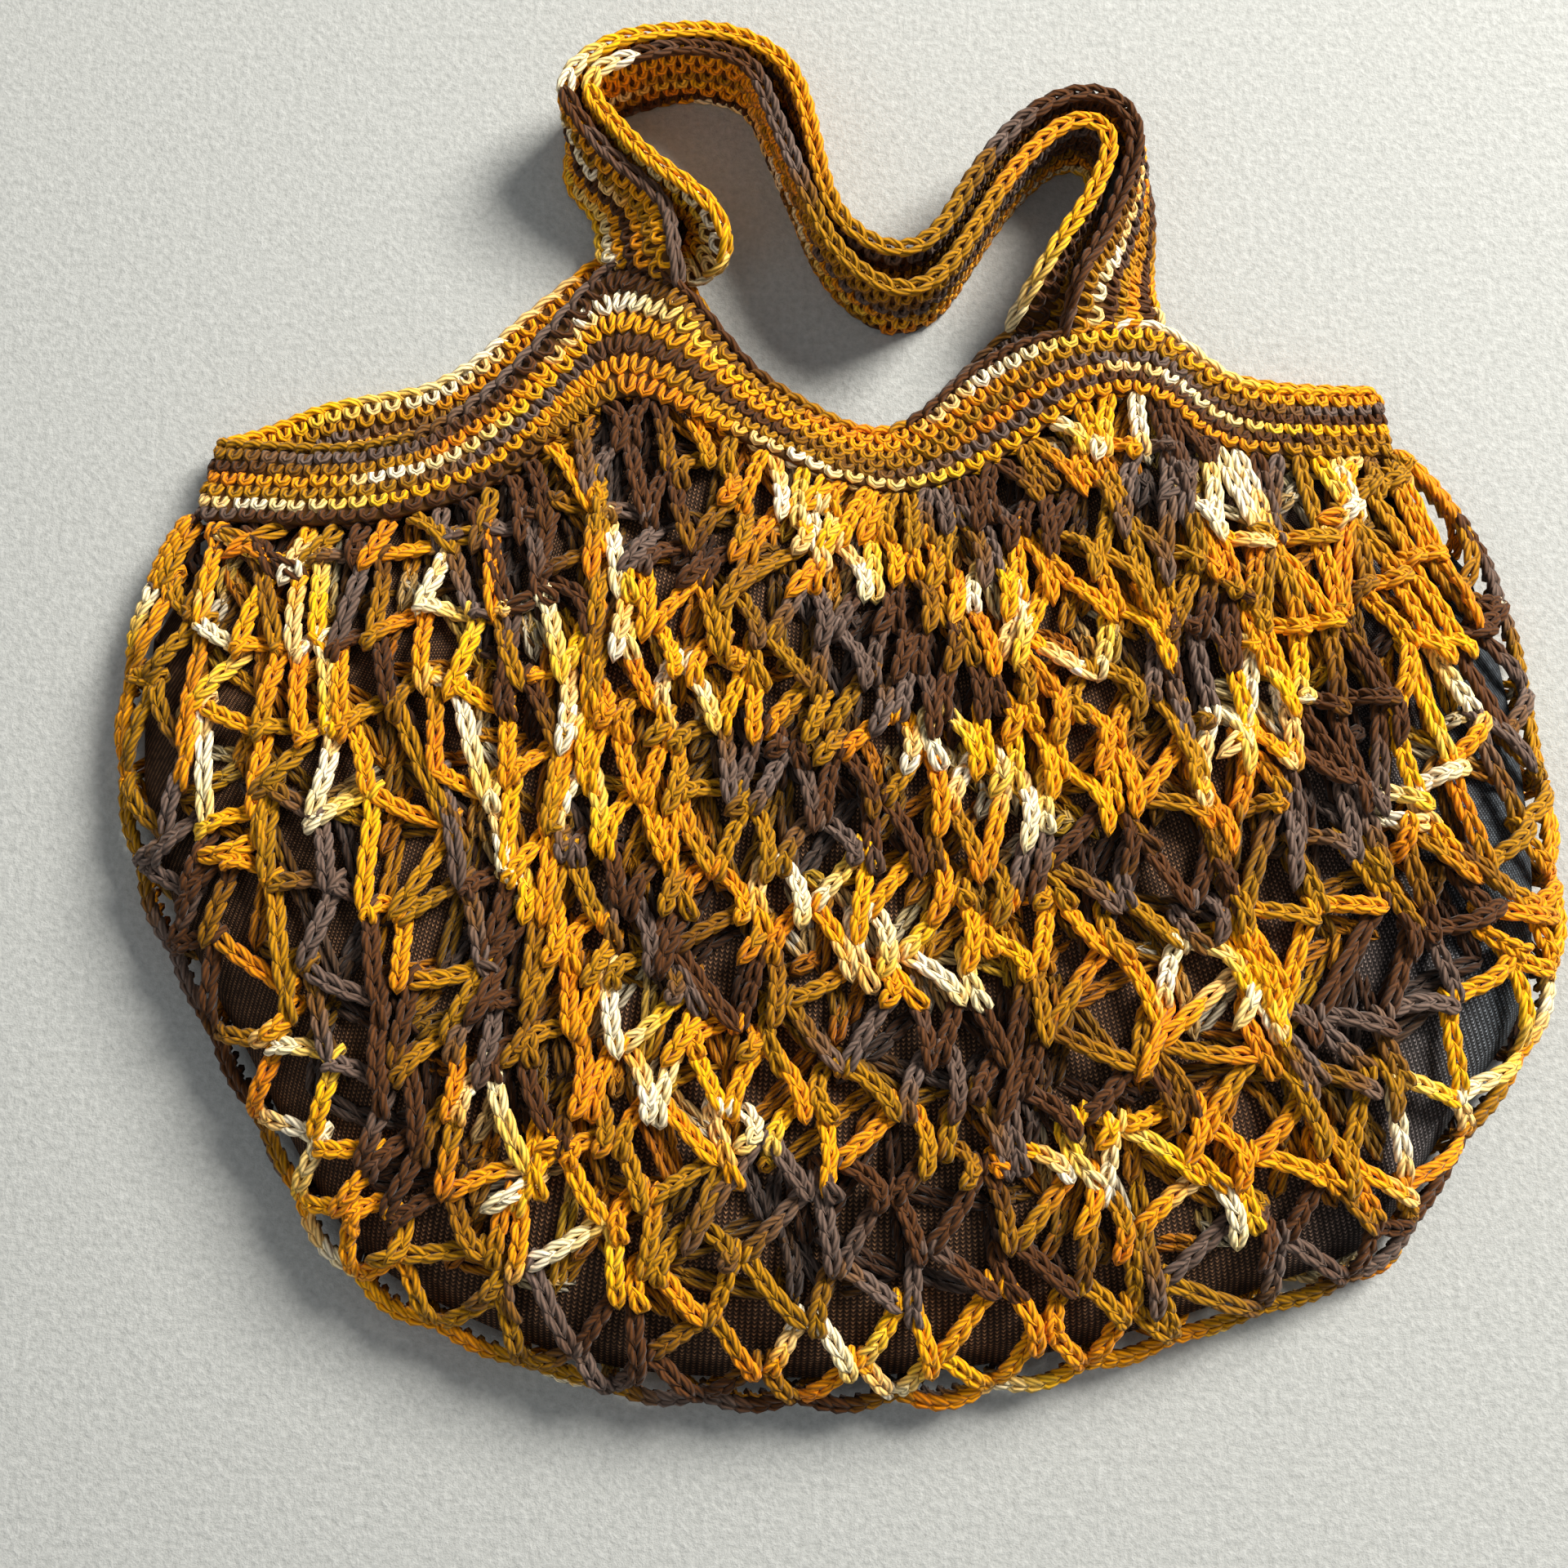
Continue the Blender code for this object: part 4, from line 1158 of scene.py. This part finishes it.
def lining_material():
    """Fine dark knit with a brown speckle."""
    material, node, wires = node_maker("lining_knit")
    place = node("ShaderNodeUVMap", uv_map="knit").outputs["UV"]
    parts = node("ShaderNodeSeparateXYZ", {"Vector": place}).outputs
    column = math_node(node, "MULTIPLY", parts["X"], 1 / 0.0016)
    zig = math_node(node, "ABSOLUTE", math_node(node, "SUBTRACT", math_node(node, "FRACT", column), 0.5))
    row = math_node(node, "MULTIPLY", parts["Y"], 1 / 0.0013)
    phase = math_node(node, "MULTIPLY", math_node(node, "ADD", row, math_node(node, "MULTIPLY", zig, 1.3)), 2 * math.pi)
    stitch = math_node(node, "MULTIPLY_ADD", math_node(node, "SINE", phase), 0.5)
    stitch.node.inputs[2].default_value = 0.5
    wale = math_node(node, "MULTIPLY", zig, 2.0)
    where = node("ShaderNodeTexCoord").outputs["Object"]
    speck = node("ShaderNodeTexNoise", {"Vector": where, "Scale": 620.0, "Detail": 2.0}).outputs[0]
    # Painted shade in the hollows between the knit's stitches and wales, times a speckle that is the yarn's own
    knit_hollow_shade_and_speckle = math_node(node, "MULTIPLY", math_node(node, "MULTIPLY", stitch, wale), speck)
    ramp = node("ShaderNodeValToRGB", {"Fac": knit_hollow_shade_and_speckle})
    stops = ramp.color_ramp.elements
    stops.new(0.3)
    stops[0].color = linear((28, 18, 12))
    stops[1].position = 0.22
    stops[1].color = linear((80, 56, 38))
    stops[2].position = 0.62
    stops[2].color = linear((176, 130, 92))
    # Painted light: the cloth is greyer and bluer towards the right side, as under the cool light from the upper right
    across = node("ShaderNodeSeparateXYZ", {"Vector": where}).outputs["X"]
    side = node("ShaderNodeMapRange", {"Value": across, "From Min": 0.12, "From Max": 0.20}).outputs[0]
    grey = node("ShaderNodeHueSaturation", {"Color": ramp.outputs[0], "Hue": 0.98, "Saturation": 0.15, "Value": 1.05}).outputs[0]
    blue = node("ShaderNodeMix", {6: grey, 7: (0.30, 0.42, 0.62, 1.0)}, data_type="RGBA", blend_type="MULTIPLY")
    blue.inputs[0].default_value = 0.45
    cloth = node("ShaderNodeMix", {0: side, 6: ramp.outputs[0], 7: blue.outputs[2]}, data_type="RGBA")
    bump = node("ShaderNodeBump", {"Height": math_node(node, "MULTIPLY", stitch, wale), "Strength": 0.8, "Distance": 0.0004}).outputs[0]
    shader = node("ShaderNodeBsdfPrincipled", {"Base Color": cloth.outputs[2], "Roughness": 0.9, "Specular IOR Level": 0.2, "Normal": bump})
    node("ShaderNodeOutputMaterial", {"Surface": shader.outputs[0]})
    return material


def floor_material():
    """Pale short pile."""
    material, node, wires = node_maker("pale_pile")
    where = node("ShaderNodeTexCoord").outputs["Object"]
    pile = node("ShaderNodeTexNoise", {"Vector": where, "Scale": 420.0, "Detail": 4.0, "Roughness": 0.7}).outputs[0]
    wave = node("ShaderNodeTexNoise", {"Vector": where, "Scale": 60.0, "Detail": 3.0}).outputs[0]
    height = math_node(node, "ADD", pile, math_node(node, "MULTIPLY", wave, 0.6))
    ramp = node("ShaderNodeValToRGB", {"Fac": pile})
    ramp.color_ramp.elements[0].position = 0.3
    ramp.color_ramp.elements[1].position = 0.7
    ramp.color_ramp.elements[0].color = linear((158, 160, 157))
    ramp.color_ramp.elements[1].color = linear((184, 186, 183))
    bump = node("ShaderNodeBump", {"Height": height, "Strength": 0.5, "Distance": 0.0012}).outputs[0]
    shader = node("ShaderNodeBsdfPrincipled", {"Base Color": ramp.outputs[0], "Roughness": 0.95, "Specular IOR Level": 0.1, "Normal": bump})
    node("ShaderNodeOutputMaterial", {"Surface": shader.outputs[0]})
    return material


# Pieces


def dress(piece, slot, *nodes):
    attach(piece, "root")
    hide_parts(*nodes)


def make_net(random):
    material = yarn_material("net_yarn")
    # Painted shade: the net deep inside the bag takes the same yarn darkened to 0.42 of its brightness
    shaded = yarn_material("inner_yarn_painted_shade", 0.42)
    made = []
    for panel, names in (
        ("front", ("net_front_left", "net_front_middle", "net_front_right")),
        ("inside", ("net_inside_left", "net_inside_right")),
        ("back", ("net_back_left", "net_back_right")),
    ):
        step = 2 * COLUMNS / len(names)
        pieces = [(step * (i + 1), Yarns()) for i in range(len(names))]
        if panel == "front":
            lay_net("front", pieces, random, LEG_LINKS, LINK, 6)
            lay_fold("front", pieces, random, LINK, 6)
        elif panel == "inside":
            lay_net(
                "front", pieces, random, 3, PLAIN_LINK, 4,
                odd=1, depth=0.0042, scatter=1.8, wraps=0, first_row=3,
            )
        else:
            lay_net("back", pieces, random, LEG_LINKS, PLAIN_LINK, 4, wraps=1)
            lay_fold("back", pieces, random, LINK, 5)
        for (_, yarns), name in zip(pieces, names):
            piece = yarns.piece(name, shaded if panel == "inside" else material)
            print("PIECE", name, yarns.triangles())
            dress(piece, "net_yarn", "net_back" if panel == "back" else "net_front")
            made.append(piece)
    return made


# Start and step of each row in the dye's repeat, from the lower edge up
RIM_DYES = (
    (0.54, 0.0125), (0.96, 0.0125), (0.30, 0.0125), (0.86, 0.0125), (0.70, 0.0125), (0.425, 0.0125),
)
RIM_EDGE = ((0, 0.34), (5, 0.46), (8, 0.58), (10, 0.66), (12, 0.80), (14, 0.90), (15, 0.66), (19, 0.60), (21, 0.98), (23, 1.04), (28, 1.20), (42, 1.60), (47, 1.90), (56, 2.16))


def make_rim():
    low, high, low_normal, high_normal = rim_frame()
    close = [np.concatenate([line, line[:1]]) for line in (low, high, low_normal, high_normal)]
    yarns = Yarns()
    lay_band(yarns, *close, RIM_ROWS, True, RIM_DYES, [(1.0, 1, RIM_EDGE)])
    piece = yarns.piece("rim_stitches", yarn_material("band_yarn"))
    print("PIECE rim", yarns.triangles())
    dress(piece, "band_yarn", "rim_band")
    core = core_piece("rim_core", *close, RIM_ROWS, True, painted_shade_core_material())
    dress(core, "band_yarn", "rim_band")
    return piece, core


FRONT_STRAP_DYES = ((0.98, 0.012), (0.16, 0.012), (0.62, 0.012), (0.90, 0.012), (0.30, 0.012), (0.10, 0.012))
BACK_STRAP_DYES = ((0.44, 0.012), (0.68, 0.012), (0.86, 0.012), (0.12, 0.012), (0.02, 0.012), (0.96, 0.012))
# Stations are the rows of the straps' tables, with a foot at each end
FRONT_EDGES = (
    (1.0, 1, ((0, 0.56), (3, 0.58), (4, 0.70), (4.6, 0.98), (6, 1.04), (7, 1.10), (9, 1.16), (11, 1.25), (12.5, 1.32), (16, 1.44), (17.5, 1.62), (20, 1.70), (24, 1.57))),
    (0.0, -1, ((0, 0.04), (4, 0.14), (8, 0.24), (12, 0.40), (16, 0.20), (20, 0.66), (24, 1.00))),
)
BACK_EDGES = (
    (1.0, 1, ((0, 1.00), (2, 1.14), (5, 1.16), (6, 1.06), (7.6, 1.00), (8.2, 0.57), (9.5, 0.66), (11, 0.57), (12, 0.55), (13, 0.42), (17, 0.36), (19, 0.24), (22, 0.14), (24, 0.06), (26, 0.00))),
    (0.0, -1, ((0, 0.20), (6, 0.16), (9, 1.00), (11, 1.04), (14, 0.90), (18, 0.20), (21, 0.06), (26, 0.30))),
)


def make_strap(panel, table, name, slot, node, dyes, edges, core):
    standing, other = strap_edges(panel, table)
    normals = strap_normals(panel, standing, other)
    yarns = Yarns()
    lay_band(yarns, other, standing, normals, normals, STRAP_ROWS, False, dyes, edges)
    piece = yarns.piece(name + "_stitches", yarn_material(slot))
    print("PIECE", name, yarns.triangles())
    dress(piece, slot, node)
    inside = core_piece(name + "_core", other, standing, normals, normals, STRAP_ROWS, False, core)
    dress(inside, slot, node)
    return piece, inside


def build():
    random = np.random.default_rng(4)
    make_net(random)
    _, rim_core = make_rim()
    core = rim_core.data.materials[0]
    make_strap(
        "front", FRONT_STRAP, "strap_front", "strap_front_yarn", "strap_front", FRONT_STRAP_DYES,
        FRONT_EDGES, core,
    )
    make_strap(
        "back", BACK_STRAP, "strap_back", "strap_back_yarn", "strap_back", BACK_STRAP_DYES,
        BACK_EDGES, core,
    )
    lining = make_lining(lining_material())
    dress(lining, "lining_knit", "lining")


def make_stage():
    bpy.ops.object.select_all(action="DESELECT")
    bpy.ops.mesh.primitive_plane_add(size=6.0, location=(0, 0, 0))
    floor = bpy.context.object
    floor.name = "floor"
    floor.data.materials.append(floor_material())
    world = bpy.data.worlds.new("studio")
    bpy.context.scene.world = world
    world.use_nodes = True
    back = world.node_tree.nodes["Background"]
    back.inputs["Color"].default_value = (0.95, 0.97, 1.0, 1.0)
    back.inputs["Strength"].default_value = 0.30
    bpy.context.scene.view_settings.view_transform = "Standard"
    for name, place, size, power, colour in (
        ("key", (1.50, 1.25, 1.55), 1.0, 142.0, (1.0, 0.96, 0.90)),
        ("fill", (-0.9, -0.6, 1.3), 1.2, 3.0, (0.90, 0.95, 1.0)),
    ):
        data = bpy.data.lights.new(name, "AREA")
        data.size = size
        data.energy = power
        data.color = colour
        light = bpy.data.objects.new(name, data)
        light.location = place
        aim = np.array([0.0, 0.0, 0.0]) - np.array(place)
        light.rotation_euler = Vector(aim).to_track_quat("-Z", "Y").to_euler()
        bpy.context.collection.objects.link(light)
    data = bpy.data.cameras.new("camera")
    data.sensor_width = 36.0
    data.lens = 40.74
    camera = bpy.data.objects.new("camera", data)
    camera.location = (-0.015862, -0.106048, 0.559500)
    camera.rotation_euler = (math.radians(8), 0, 0)
    bpy.context.collection.objects.link(camera)
    bpy.context.scene.camera = camera


build()
make_stage()
